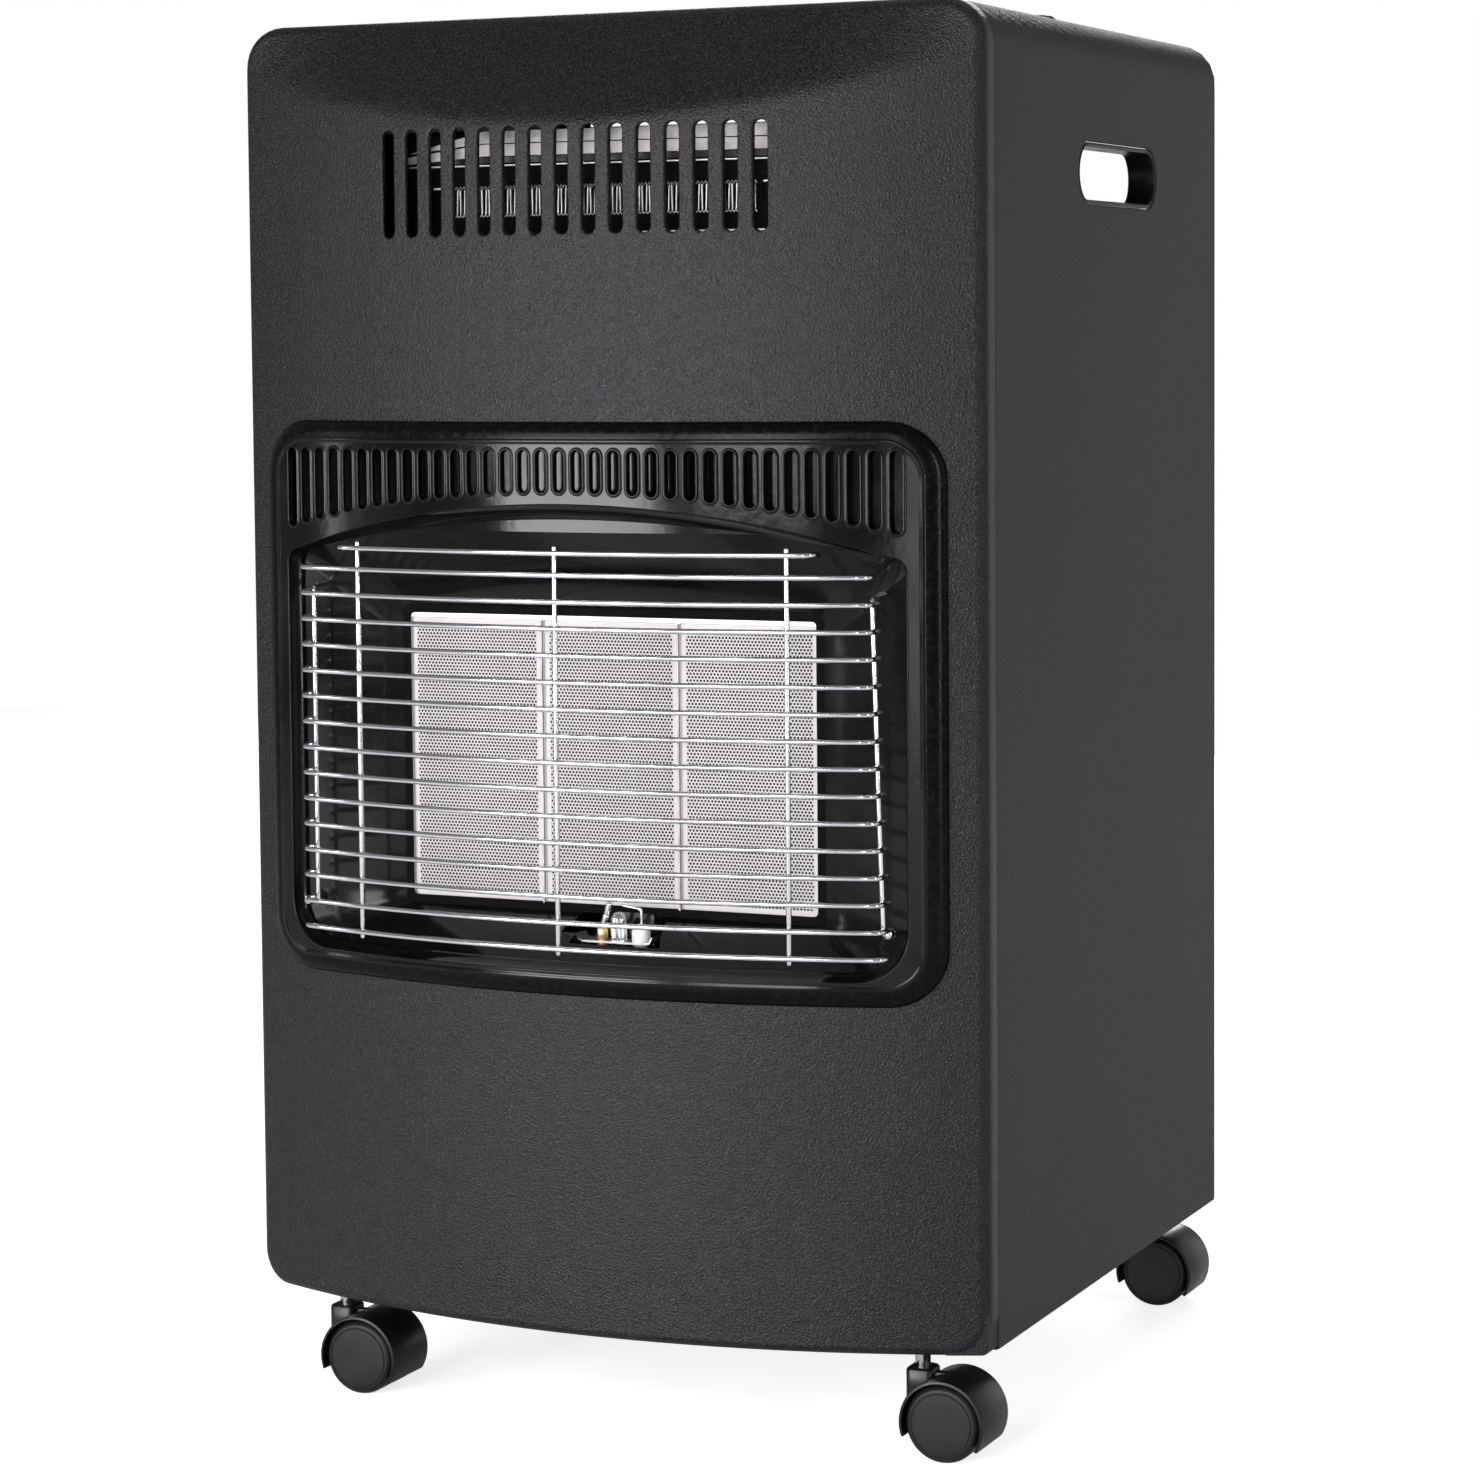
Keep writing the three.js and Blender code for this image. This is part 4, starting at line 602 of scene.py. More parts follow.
class Edge:
    """A closed edge of a sheet: rings of (a, b) points with a height for each ring."""

    def __init__(self, rings, heights, outer=False):
        self.rings = np.asarray(rings, float)
        heights = np.asarray(heights, float)
        self.heights = np.broadcast_to(heights.reshape(len(heights), -1), self.rings.shape[:2])
        self.outer = outer


def edge(outline, profile, outer=False):
    """An edge that runs along an outline; profile gives (distance into the sheet, height)."""
    along = np.roll(outline, -1, axis=0) - np.roll(outline, 1, axis=0)
    along /= np.maximum(np.linalg.norm(along, axis=1, keepdims=True), 1e-12)
    inward = np.stack([along[:, 1], -along[:, 0]], 1) * (-1 if outer else 1)
    rings = [outline + inward * distance for distance, _ in profile]
    return Edge(rings, [height for _, height in profile], outer)


def within(points, outline):
    """True for each point inside a closed outline: crossings to the right are odd in number."""
    p, q = outline, np.roll(outline, -1, axis=0)
    inside = np.zeros(len(points), bool)
    near = np.all((points > outline.min(0)) & (points < outline.max(0)), axis=1)
    x, y = points[near, 0][:, None], points[near, 1][:, None]
    rise = np.where(p[:, 1] == q[:, 1], 1e-12, q[:, 1] - p[:, 1])
    crosses = ((p[:, 1] > y) != (q[:, 1] > y)) & (
        x < (q[:, 0] - p[:, 0]) * (y - p[:, 1]) / rise + p[:, 0]
    )
    inside[near] = crosses.sum(1) % 2 == 1
    return inside


def on_sheet(points, fields):
    """True for each point inside the first outline and outside all the others."""
    inside = within(points, fields[0])
    for field in fields[1:]:
        inside &= ~within(points, field)
    return inside


def spread(fields, step, extra):
    """The outlines' points, then a staggered grid and extra rows that stay clear of them."""
    row_gap, rim_gap, chunk = step * 0.87, step * 0.3, 400
    least, most = fields[0].min(0), fields[0].max(0)
    rows = []
    for i, b in enumerate(np.arange(least[1] + step / 2, most[1], row_gap)):
        a = np.arange(least[0] + (step / 2 if i % 2 else step), most[0], step)
        rows.append(np.stack([a, np.full_like(a, b)], 1))
    grid = np.concatenate([*rows, *extra])
    grid = grid[on_sheet(grid, fields)]
    rim = np.concatenate(fields)
    clear = np.ones(len(grid), bool)
    for first in range(0, len(rim), chunk):
        gap = np.linalg.norm(grid[:, None] - rim[None, first:first + chunk], axis=2).min(1)
        clear &= gap > rim_gap
    return np.concatenate([rim, grid[clear]])


def triangulate(flat, fields):
    """Triangles between flat points, which keep to the outlines and leave the holes open."""
    lines, start = [], 0
    for field in fields:
        n = len(field)
        lines += [(start + i, start + (i + 1) % n) for i in range(n)]
        start += n
    made = delaunay_2d_cdt([Vector(p) for p in flat], lines, [], 0, 1e-7)
    source = [ids[0] if ids else -1 for ids in made[3]]
    triangles = np.array([[source[v] for v in f] for f in made[2]])
    triangles = triangles[(triangles >= 0).all(1)]
    return triangles[on_sheet(flat[triangles].mean(1), fields)]


def pierced(edges, place, step, extra=()):
    """A sheet with shaped edges and holes, bent by place(a, b, height) -> (n, 3).

    The flat field between the first rings of the edges is triangulated over a staggered grid, and
    each edge's further rings are joined to it by quads. Field normals come from the two
    tangents of place.
    """
    fields = [e.rings[0] for e in edges]
    flat = spread(fields, step, extra)
    points = [place(flat[:, 0], flat[:, 1], np.zeros(len(flat)))]
    a, b, near = flat[:, 0], flat[:, 1], 1e-4
    across = place(a + near, b, 0.0) - place(a - near, b, 0.0)
    up = place(a, b + near, 0.0) - place(a, b - near, 0.0)
    normal = np.cross(across, up)
    normals = [normal / np.linalg.norm(normal, axis=1, keepdims=True)]
    faces = [tuple(t) for t in triangulate(flat, fields).tolist()]
    total, start = len(flat), 0
    for item in edges:
        count_here = item.rings.shape[1]
        previous = np.arange(start, start + count_here)
        start += count_here
        for ring, height in zip(item.rings[1:], item.heights[1:]):
            points.append(place(ring[:, 0], ring[:, 1], height))
            normals.append(np.zeros((count_here, 3)))
            current = np.arange(total, total + count_here)
            total += count_here
            quad = [previous, np.roll(previous, -1), np.roll(current, -1), current]
            quad = quad[::-1] if item.outer else quad
            faces += [tuple(f) for f in np.stack(quad, 1).tolist()]
            previous = current
    return Part(np.concatenate(points), faces, np.concatenate(normals))


def piece(name, parts, finish, replaces=(), angle=35.0, body="cabinet"):
    """Makes one object from parts, at the origin, riding on a body."""
    parts = parts if isinstance(parts, (list, tuple)) else [parts]
    points, normals, faces, start = [], [], [], 0
    for part in parts:
        points.append(part.points)
        normals.append(part.normals)
        faces += [tuple(v + start for v in f) for f in part.faces]
        start += len(part.points)
    mesh = bpy.data.meshes.new(name)
    mesh.from_pydata(np.concatenate(points).tolist(), [], faces)
    mesh.validate()
    mesh.shade_smooth()
    mesh.set_sharp_from_angle(angle=math.radians(angle))
    known = np.concatenate(normals)
    if known.any() and len(known) == len(mesh.vertices):
        mesh.normals_split_custom_set_from_vertices(known.tolist())
    mesh.materials.append(finishes()[finish])
    made = bpy.data.objects.new(name, mesh)
    bpy.context.scene.collection.objects.link(made)
    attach(made, body)
    if replaces:
        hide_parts(*replaces)
    return made


def eased(node, finish, bevel, angle=40.0):
    """Stands for a CAD node: the same faces with softened edges and smooth round sides."""
    source = frame["nodes"][node]
    mesh = source.data.copy()
    mesh.name = node + "_eased"
    mesh.materials.clear()
    mesh.materials.append(finishes()[finish])
    made = bpy.data.objects.new(node + "_eased", mesh)
    bpy.context.scene.collection.objects.link(made)
    weld = made.modifiers.new("weld", "WELD")
    weld.merge_threshold = 1e-6
    if bevel:
        soft = made.modifiers.new("soft", "BEVEL")
        soft.width = bevel
        soft.segments = 2
        soft.limit_method = "ANGLE"
        soft.angle_limit = math.radians(angle)
    graph = bpy.context.evaluated_depsgraph_get()
    baked = bpy.data.meshes.new_from_object(made.evaluated_get(graph))
    made.modifiers.clear()
    made.data = baked
    baked.shade_smooth()
    baked.set_sharp_from_angle(angle=math.radians(angle))
    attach(made, source["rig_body"])
    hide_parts(node)
    return made


# ---------------------------------------------------------------- shared places
def low(node):
    """Lowest corner of a CAD node."""
    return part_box(node)[0]


def high(node):
    """Highest corner of a CAD node."""
    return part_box(node)[1]


def middle(node):
    """Middle of a CAD node, as x, y and z."""
    return [(a + b) / 2 for a, b in zip(*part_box(node))]


class Front:
    """The bowed front: y = centre - sqrt((R + out)^2 - x^2), and the facet that leans from it."""

    def __init__(self, sizes):
        self.sizes = sizes
        self.half = high("front_panel").x
        self.top = high("front_panel").z
        self.base = low("front_panel").z
        self.face = low("front_panel").y
        self.corner = self.face + sizes.bow
        self.radius = (self.half**2 + sizes.bow**2) / (2 * sizes.bow)
        self.centre = self.face + self.radius

    def bow(self, x, out=0.0):
        """Y of the bow at x, moved out by a distance."""
        return self.centre - np.sqrt((self.radius + out) ** 2 - np.square(x))

    def drop(self, x):
        """How far the crease lies under the top at x."""
        s = self.sizes
        return s.crease + (s.crease_end - s.crease) * np.square(x / self.half)

    def surface(self, x, z):
        """Y of the panel: the bow, leaning back above the crease.

        d = z - crease(x), crease(x) = top - drop(x), and the lean grows with the soft ramp
        (d + sqrt(d^2 + w^2)) / 2.
        """
        drop = self.drop(x)
        over = z - (self.top - drop)
        ramp = (over + np.sqrt(over**2 + self.sizes.crease_soft**2)) / 2
        bow = self.bow(np.clip(x, -self.half, self.half))
        return bow + (self.corner - bow) * np.clip(ramp / drop, 0, 1)


def front():
    """The front's form, from the scene's sizes."""
    return Front(bpy.context.scene.heater_panel)


def arch(half, top, bottom, fall, corner):
    """Outline of the burner opening, anticlockwise from the foot of its left side.

    The arch is z = top - fall (x / half)^2, with a small round shoulder at each end.
    """
    angle = np.linspace(0, np.pi / 2, 9)
    foot = np.stack([half - corner + corner * np.sin(angle),
                     bottom + corner - corner * np.cos(angle)], 1)
    shoulder = 0.008
    end = top - fall
    bend = np.stack([half - shoulder + shoulder * np.cos(angle),
                     end - shoulder + shoulder * np.sin(angle)], 1)
    x = np.linspace(half - shoulder, 0, 20)[1:]
    span = half - shoulder
    crown = np.stack([x, top - fall * np.square(x / span)], 1)
    base = np.stack([np.linspace(0, half - corner, 14)[:-1], np.full(13, bottom)], 1)
    side = np.stack([np.full(14, half), np.linspace(bottom + corner, end - shoulder, 16)[1:-1]], 1)
    right = np.concatenate([base, foot, side, bend, crown])
    left = right[1:-1][::-1] * (-1, 1)
    return np.concatenate([right, left])


def mouth_rings():
    """The opening's outline at the bezel's face, and deeper in at its collar."""
    s, f = bpy.context.scene.heater_bezel, front()
    top, bottom = f.top - s.mouth_drop, f.top - s.mouth_drop - s.mouth_height
    deep = arch(s.mouth_half, top, bottom, s.mouth_fall, s.mouth_corner)
    face = arch(s.mouth_half + 0.004, top + s.cove, bottom - 0.0035, s.cove_fall,
                s.mouth_corner + 0.003)
    return face, deep


# ---------------------------------------------------------------- finishes shared by pieces
def finishes():
    """All materials by name; the first call makes the shared ones."""
    kept = bpy.data.materials
    if "front coat" in kept:
        return {m.name: m for m in kept}
    powder_coat("front coat", (0.0006, 0.0005, 0.0007), (0.024, 0.0221, 0.0249), 760.0, 0.345)
    powder_coat("side coat", (0.0018, 0.0016, 0.0021), (0.026, 0.0235, 0.0275), 840.0, 0.41)
    enamel("enamel")
    metal("chrome", (0.82, 0.83, 0.85), 0.1, 500.0, depth=0.00001, tarnish=0.1)
    metal("bright steel", (0.72, 0.71, 0.69), 0.3, 1200.0, (1, 1, 0.1), 0.00003)
    metal("burner steel", (0.3, 0.29, 0.28), 0.42, 700.0)
    metal("pale steel", (0.8, 0.79, 0.77), 0.52, 1500.0)
    metal("brushed zinc", (0.4, 0.39, 0.4), 0.5, 420.0, (0.3, 1, 3), 0.0002, 0.9)
    # Painted shade: matte near-black for sheet deep inside the cabinet and round the plaques.
    matte("soot", (0.0012, 0.0012, 0.0013), 0.08)
    # Painted shade: a matte near-black copy of the enamel, for edges and folds that lie in shade.
    matte("deep enamel", (0.0018, 0.0016, 0.002), 0.1, 0.2)
    metal("brass", (0.72, 0.5, 0.18), 0.2, 1500.0, tarnish=0.4)
    metal("copper", (0.64, 0.3, 0.16), 0.24, 900.0, tarnish=0.5)
    metal("cast alloy", (0.46, 0.47, 0.48), 0.48, 1300.0, depth=0.00016)
    zinc("zinc")
    plastic("black plastic", (0.0045, 0.0042, 0.005), 0.27)
    plastic("tyre plastic", (0.006, 0.0056, 0.0065), 0.38, 2200.0, 0.00008)
    plastic("red plastic", (0.45, 0.02, 0.015), 0.25)
    plastic("pale plastic", (0.6, 0.6, 0.6), 0.4)
    plastic("silicone", (0.02, 0.02, 0.022), 0.5)
    glaze("glaze")
    return {m.name: m for m in kept}


# ---------------------------------------------------------------- operators, one for each group
class HEATER_OT_panel(bpy.types.Operator):
    """Front panel: bowed pressed sheet with a leaning facet, rolled vents and a window."""

    bl_idname = "heater.panel"
    bl_label = "Front panel"

    def execute(self, context):
        s, f = context.scene.heater_panel, front()
        turn = np.linspace(0, np.pi / 2, 7)
        profile = [(s.edge * (1 - np.sin(t)), -s.edge * (1 - np.cos(t))) for t in turn]
        profile += [(0, -s.step), (0.0012, -s.step)]
        edges = [edge(self.outline(f, s), profile, outer=True)]
        roll = [(0.0012, 0), (0.0007, -0.0001), (0.0002, -0.0005), (0, -0.0012), (0, -0.0028)]
        for i in range(s.vent_count):
            x = (i - (s.vent_count - 1) / 2) * s.vent_pitch
            z = f.top - s.vent_drop - s.vent_height / 2
            slot = rounded(x, z, s.vent_width, s.vent_height, s.vent_width / 2, 6)
            edges.append(edge(refine(slot, HOLE_STEP), roll))
        foot_lap, head_lap, wide, corner = 0.009, 0.007, 0.352, 0.016
        z0, z1 = low("burner_bezel").z + foot_lap, high("burner_bezel").z - head_lap
        window = rounded(0, (z0 + z1) / 2, wide, z1 - z0, corner)
        edges.append(edge(refine(window, HOLE_STEP), [(0, 0), (0, -0.0012)]))
        x = np.linspace(-0.2, 0.2, 90)
        crease = [np.stack([x, f.top - f.drop(x) + d], 1)
                  for d in (-0.005, -0.002, 0.0, 0.002, 0.005)]

        def place(a, b, h):
            return np.stack([a, f.surface(a, b) - h, b + 0 * a], -1)

        made = pierced(edges, place, FIELD_STEP, crease)
        piece("front_panel_skin", made, "front coat",
              ["front_panel"])
        self.corner(f, s)
        return {"FINISHED"}

    @staticmethod
    def corner(f, s):
        """Folded gusset that closes the panel's lower right corner."""
        size = s.low_corner + 0.004
        x, z = f.half - size / 2 - 0.0004, f.base + size / 2 + 0.0004
        outline = rounded(x, z, size, size, 0.003, 4)
        bow, rear = f.bow(outline[:, 0]), f.corner + 0.0135
        rows = [upright(outline, bow * (1 - t) + rear * t + 0.0012) for t in (0.0, 0.5, 1.0)]
        piece("panel_gusset", loft(rows), "side coat")

    @staticmethod
    def outline(f, s):
        """Panel outline with its own radii at the top and at the bottom."""
        height = f.top - f.base
        z = (f.top + f.base) / 2
        high_half = rounded(0, z, 2 * f.half, height, s.top_corner, 8)
        low_half = rounded(0, z, 2 * f.half, height, s.low_corner, 8)
        split = len(high_half) // 4
        outline = np.concatenate(
            [low_half[:split], high_half[split:3 * split], low_half[3 * split:]]
        )
        return refine(outline, FIELD_STEP)


class HEATER_OT_bezel(bpy.types.Operator):
    """Bezel: bowed enamelled pad with a rolled edge, raised slots and a coved burner mouth."""

    bl_idname = "heater.bezel"
    bl_label = "Burner bezel"

    def execute(self, context):
        s, f = context.scene.heater_bezel, front()
        z0, z1 = low("burner_bezel").z, high("burner_bezel").z
        half = high("burner_bezel").x
        outline = refine(rounded(0, (z0 + z1) / 2, 2 * half, z1 - z0, s.corner, 14), 0.005)
        turn = np.linspace(0, np.pi / 2, 9)
        bead = [(s.roll + 0.0030, 0), (s.roll + 0.0022, s.bead * 0.5), (s.roll + 0.0014, s.bead),
                (s.roll + 0.0006, s.bead * 0.8)]
        roll = [(s.roll * (1 - np.sin(t)), -(s.proud - 0.0002) * (1 - np.cos(t))) for t in turn]
        edges = [edge(outline, [*bead, roll[0]], outer=True), *self.slots(s, f.top), self.mouth(s)]

        def place(a, b, h):
            return np.stack([a, f.bow(np.clip(a, -half, half), s.proud) - h, b + 0 * a], -1)

        ring = edge(outline, roll, outer=True)
        rows = [place(r[:, 0], r[:, 1], h) for r, h in zip(ring.rings, ring.heights)]
        # Painted shade: the rolled outer edge uses the matte near-black enamel so that it reads as
        # a dark band.
        piece("bezel_roll", loft(rows[::-1], caps=False), "deep enamel", angle=50.0)
        piece("bezel_skin", pierced(edges, place, 0.0055), "enamel",
              ["burner_bezel"], angle=50.0)
        # Painted shade: a black enamel sheet behind the slots, where there is only shade.
        piece("bezel_baffle", self.shade_baffle(f, z1), "enamel")
        return {"FINISHED"}

    @staticmethod
    def slots(s, top):
        """Raised edges of the slots, taller by the square of the distance from the middle."""
        lip = [(0.0019, 0), (0.0014, 0.00035), (0.0009, 0.0007), (0.00035, 0.0007),
               (0.00005, 0.0002), (0, -0.0006), (0, -0.0036)]
        edges, reach = [], (s.slot_count - 1) / 2
        for i in range(s.slot_count):
            tall = s.slot_short + (s.slot_long - s.slot_short) * ((i - reach) / reach) ** 2
            x, z = (i - reach) * s.slot_pitch, top - s.slot_drop - tall / 2
            slot = rounded(x, z, s.slot_width, tall, s.slot_width / 2, 6)
            edges.append(edge(refine(slot, 0.005), lip))
        return edges

    @staticmethod
    def mouth(s):
        """Edge of the burner mouth: a cove that falls from the bezel's face to its collar."""
        face, deep = mouth_rings()
        steps = [(0, 0), (0.03, 0.0002), (0.07, 0.0), (0.12, -0.0008), (0.2, -0.002),
                 (0.45, -0.0048), (0.75, -0.0072), (0.92, -0.0082), (0.98, -0.0086),
                 (1.0, -0.0094), (1.0, -s.depth)]
        outside = face + (face - face.mean(0)) * 0.004
        rings = [outside + (face - outside) * min(t * 20, 1) + (deep - face) * t for t, _ in steps]
        return Edge(rings, [h for _, h in steps])

    @staticmethod
    def shade_baffle(f, top):
        """Thin bowed black sheet behind the slots, as painted shade: it closes them from behind."""
        x = np.linspace(-0.1735, 0.1735, 24)
        depth, high_edge, low_edge = f.bow(x) + 0.0045, top - 0.0075, top - 0.056
        section = ((0.0, high_edge), (0.0, low_edge), (0.0008, low_edge), (0.0008, high_edge))
        strips = [np.stack([x, depth + d, np.full_like(x, z)], 1) for d, z in section]
        return loft(np.stack(strips, 1))


class HEATER_OT_reflector(bpy.types.Operator):
    """Reflector: dished enamelled walls from the bezel's collar back to the burners."""

    bl_idname = "heater.reflector"
    bl_label = "Reflector"

    def execute(self, context):
        s, f = context.scene.heater_bezel, front()
        _, deep = mouth_rings()
        y_rear = high("reflector").y
        inset = 0.0015
        half = high("burner_frame").x - inset
        z0, z1 = low("burner_frame").z + inset, high("burner_frame").z - inset
        centre = np.array([0.0, (deep[:, 1].max() + deep[:, 1].min()) / 2])
        unit = (deep - centre) / (deep.max(0) - centre)
        unit /= np.abs(unit).max(1, keepdims=True)
        rear = np.stack([unit[:, 0] * half, (z0 + z1) / 2 + unit[:, 1] * (z1 - z0) / 2], 1)
        y_front = f.bow(deep[:, 0], s.proud) + s.depth + 0.0003
        rings = []
        for t in np.linspace(0, 1, 11):
            ease = t + 0.1 * math.sin(math.pi * t)
            flat = deep + (rear - deep) * ease
            rings.append(upright(flat, y_front + (y_rear - y_front) * t))
        made = loft(rings, caps=False)
        gap, rise, reach = 0.002, 0.004, 0.03
        x0, x1 = low("pilot_bracket").x - gap, high("pilot_bracket").x + gap
        centre = [made.points[list(face)].mean(0) for face in made.faces]
        made.faces = [face for face, (x, y, z) in zip(made.faces, centre)
                      if not (x0 < x < x1 and z < z0 + rise and y > y_rear - reach)]
        piece("reflector_skin", made, "enamel",
              ["reflector"], angle=60.0)
        border = self.border(half, z0, z1, y_rear)
        # Painted shade: the deep border round the plaques is drawn matte near-black.
        piece("reflector_shade_border", border, "soot")
        return {"FINISHED"}

    @staticmethod
    def border(half, z0, z1, y):
        """Flat near-black border from the reflector's rear edge in to the plaques, as painted
        shade.
        """
        lap, corner = 0.001, 0.002
        side, foot, top = (low("plaque_left").x + lap, low("plaque_left").z + lap,
                           high("plaque_left").z - lap)
        outline = rounded(0, (z0 + z1) / 2, 2 * half, z1 - z0, corner, 2)
        hole = rounded(0, (foot + top) / 2, 2 * abs(side), top - foot, corner, 2)
        return loft([upright(outline, y + 0.0001), upright(hole, y + 0.0001)], caps=False)


class HEATER_OT_burners(bpy.types.Operator):
    """Burners: perforated plaques in a bright frame, burner bodies and their injectors."""

    bl_idname = "heater.burners"
    bl_label = "Burners"

    def execute(self, context):
        s = context.scene.heater_burner
        for name in PLAQUES:
            a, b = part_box("plaque_" + name)
            centre = ((a.x + b.x) / 2, (a.z + b.z - s.strip + s.border) / 2)
            across, tall = b.x - a.x - 2 * s.divider, b.z - a.z - s.strip - s.border
            perforated("ceramic " + name, s, across, tall, centre)
            eased("plaque_" + name, "ceramic " + name, 0.0005)
            eased("burner_body_" + name, "burner steel", 0.0008)
            eased("injector_" + name, "brass", 0.0002)
        self.frame_piece(s)
        eased("gas_manifold", "zinc", 0.0003)
        return {"FINISHED"}

    @staticmethod
    def frame_piece(s):
        """Bright sheet frame: a flange over the plaques, thin sides and foot, and dividers."""
        a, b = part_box("plaque_left")[0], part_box("plaque_right")[1]
        y, rim = low("burner_frame").y, 0.0002
        outline = rounded(0, (a.z + b.z) / 2, b.x - a.x + 2 * rim, b.z - a.z + 2 * rim, 0.003, 4)
        down = [(0.0005, 0), (0.0001, -0.0001), (0, -0.0004), (0, -0.0012)]
        edges = [edge(refine(outline, 0.01), down, outer=True)]
        for name in PLAQUES:
            p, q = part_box("plaque_" + name)
            x0 = p.x + (s.border if name == "left" else s.divider)
            x1 = q.x - (s.border if name == "right" else s.divider)
            z0, z1 = p.z + s.border, q.z - s.strip
            hole = refine(rounded((x0 + x1) / 2, (z0 + z1) / 2, x1 - x0, z1 - z0, 0.0008, 2), 0.01)
            edges.append(edge(hole, [(0.0003, 0), (0, -0.0003), (0, -0.0014)]))

        def place(u, v, h):
            return np.stack([u, y - h + 0 * u, v + 0 * u], -1)

        body = pierced(edges, place, 0.012)
        piece("plaque_frame_skin", body, "pale steel",
              ["burner_frame"])
        seams = []
        for name in ("left", "centre"):
            x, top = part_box("plaque_" + name)[1].x + 0.0002, b.z - s.strip
            wide, tall = 2 * s.divider + 0.0002, top - a.z - 0.0004
            outline = rounded(x, (a.z + top) / 2, wide, tall, 0.0003, 2)
            crest = np.stack([x + (outline[:, 0] - x) * 0.5, outline[:, 1]], 1)
            seams.append(loft([upright(crest, y - 0.0007), upright(outline, y - 0.0001),
                               upright(outline, y + 0.0004)]))
        piece("plaque_seams", seams, "burner steel")


class HEATER_OT_guard(bpy.types.Operator):
    """Wire guard: chromed wires that follow the bow and bend back into the burner mouth."""

    bl_idname = "heater.guard"
    bl_label = "Wire guard"

    def execute(self, context):
        s, b, f = context.scene.heater_guard, context.scene.heater_bezel, front()
        radius, seat = s.wire / 2, s.wire * 0.86
        mouth_top = f.top - b.mouth_drop
        first = mouth_top - s.roof
        last = mouth_top - b.mouth_height + s.floor
        heights = np.linspace(first, last, s.rows)
        wires, ends = [], []
        for row, z in enumerate(heights):
            right = s.half + s.splay * (row / (s.rows - 1)) ** 2
            ends.append(right)
            leg = s.leg if 0 < row < s.rows - 1 else s.leg * 0.45
            wires.append(tube(self.path(f, s, z, s.half, right, leg), radius, 12))
        top_z = first + s.top_gap
        inset = s.half - s.top_inset
        wires.append(tube(self.path(f, s, top_z, inset, inset, s.bend), radius, 12))
        for x in (-s.upright, 0.0, s.upright):
            y = f.bow(x, s.proud) + seat
            wires.append(tube([(x, y, last - 0.0026), (x, y, top_z + 0.0026)], radius, 12))
        y = f.bow(s.half, s.proud) + s.leg - radius
        back, head, foot = y + 0.035, heights[1] + 0.003, heights[-2] - 0.0035
        for side, upper, lower in ((-1, s.half, s.half), (1, ends[1], ends[-2])):
            x_head, x_foot = side * (upper - seat), side * (lower - seat)
            rail = smooth_path([(x_head, back, head + 0.002), (x_head, y, head),
                                (x_foot, y, foot), (x_foot, back, foot - 0.001)], 0.004)
            wires.append(tube(rail, radius * 0.95, 10))
        piece("wire_guard_skin", wires, "chrome", ["wire_guard"],
              angle=60.0)
        return {"FINISHED"}

    @staticmethod
    def path(f, s, z, left, right, leg):
        """Along the bow at one height, with a tight bend back at each end and a short leg."""
        sides = []
        for half in (left, right):
            x = np.linspace(0, half - s.bend, 22)
            t = np.linspace(0, 1, 8)[1:, None]
            start = np.array([x[-1], f.bow(x[-1], s.proud)])
            turn = np.array([half, f.bow(half, s.proud)])
            end = turn + (0, s.bend)
            bend = (1 - t) ** 2 * start + 2 * t * (1 - t) * turn + t**2 * end
            run = np.stack([x, f.bow(x, s.proud)], 1)
            flat = np.concatenate([run, bend, [turn + (0, max(leg, s.bend + 0.001))]])
            sides.append(np.column_stack([flat, np.full(len(flat), z)]))
        return np.concatenate([sides[0][1:][::-1] * (-1, 1, 1), sides[1]])


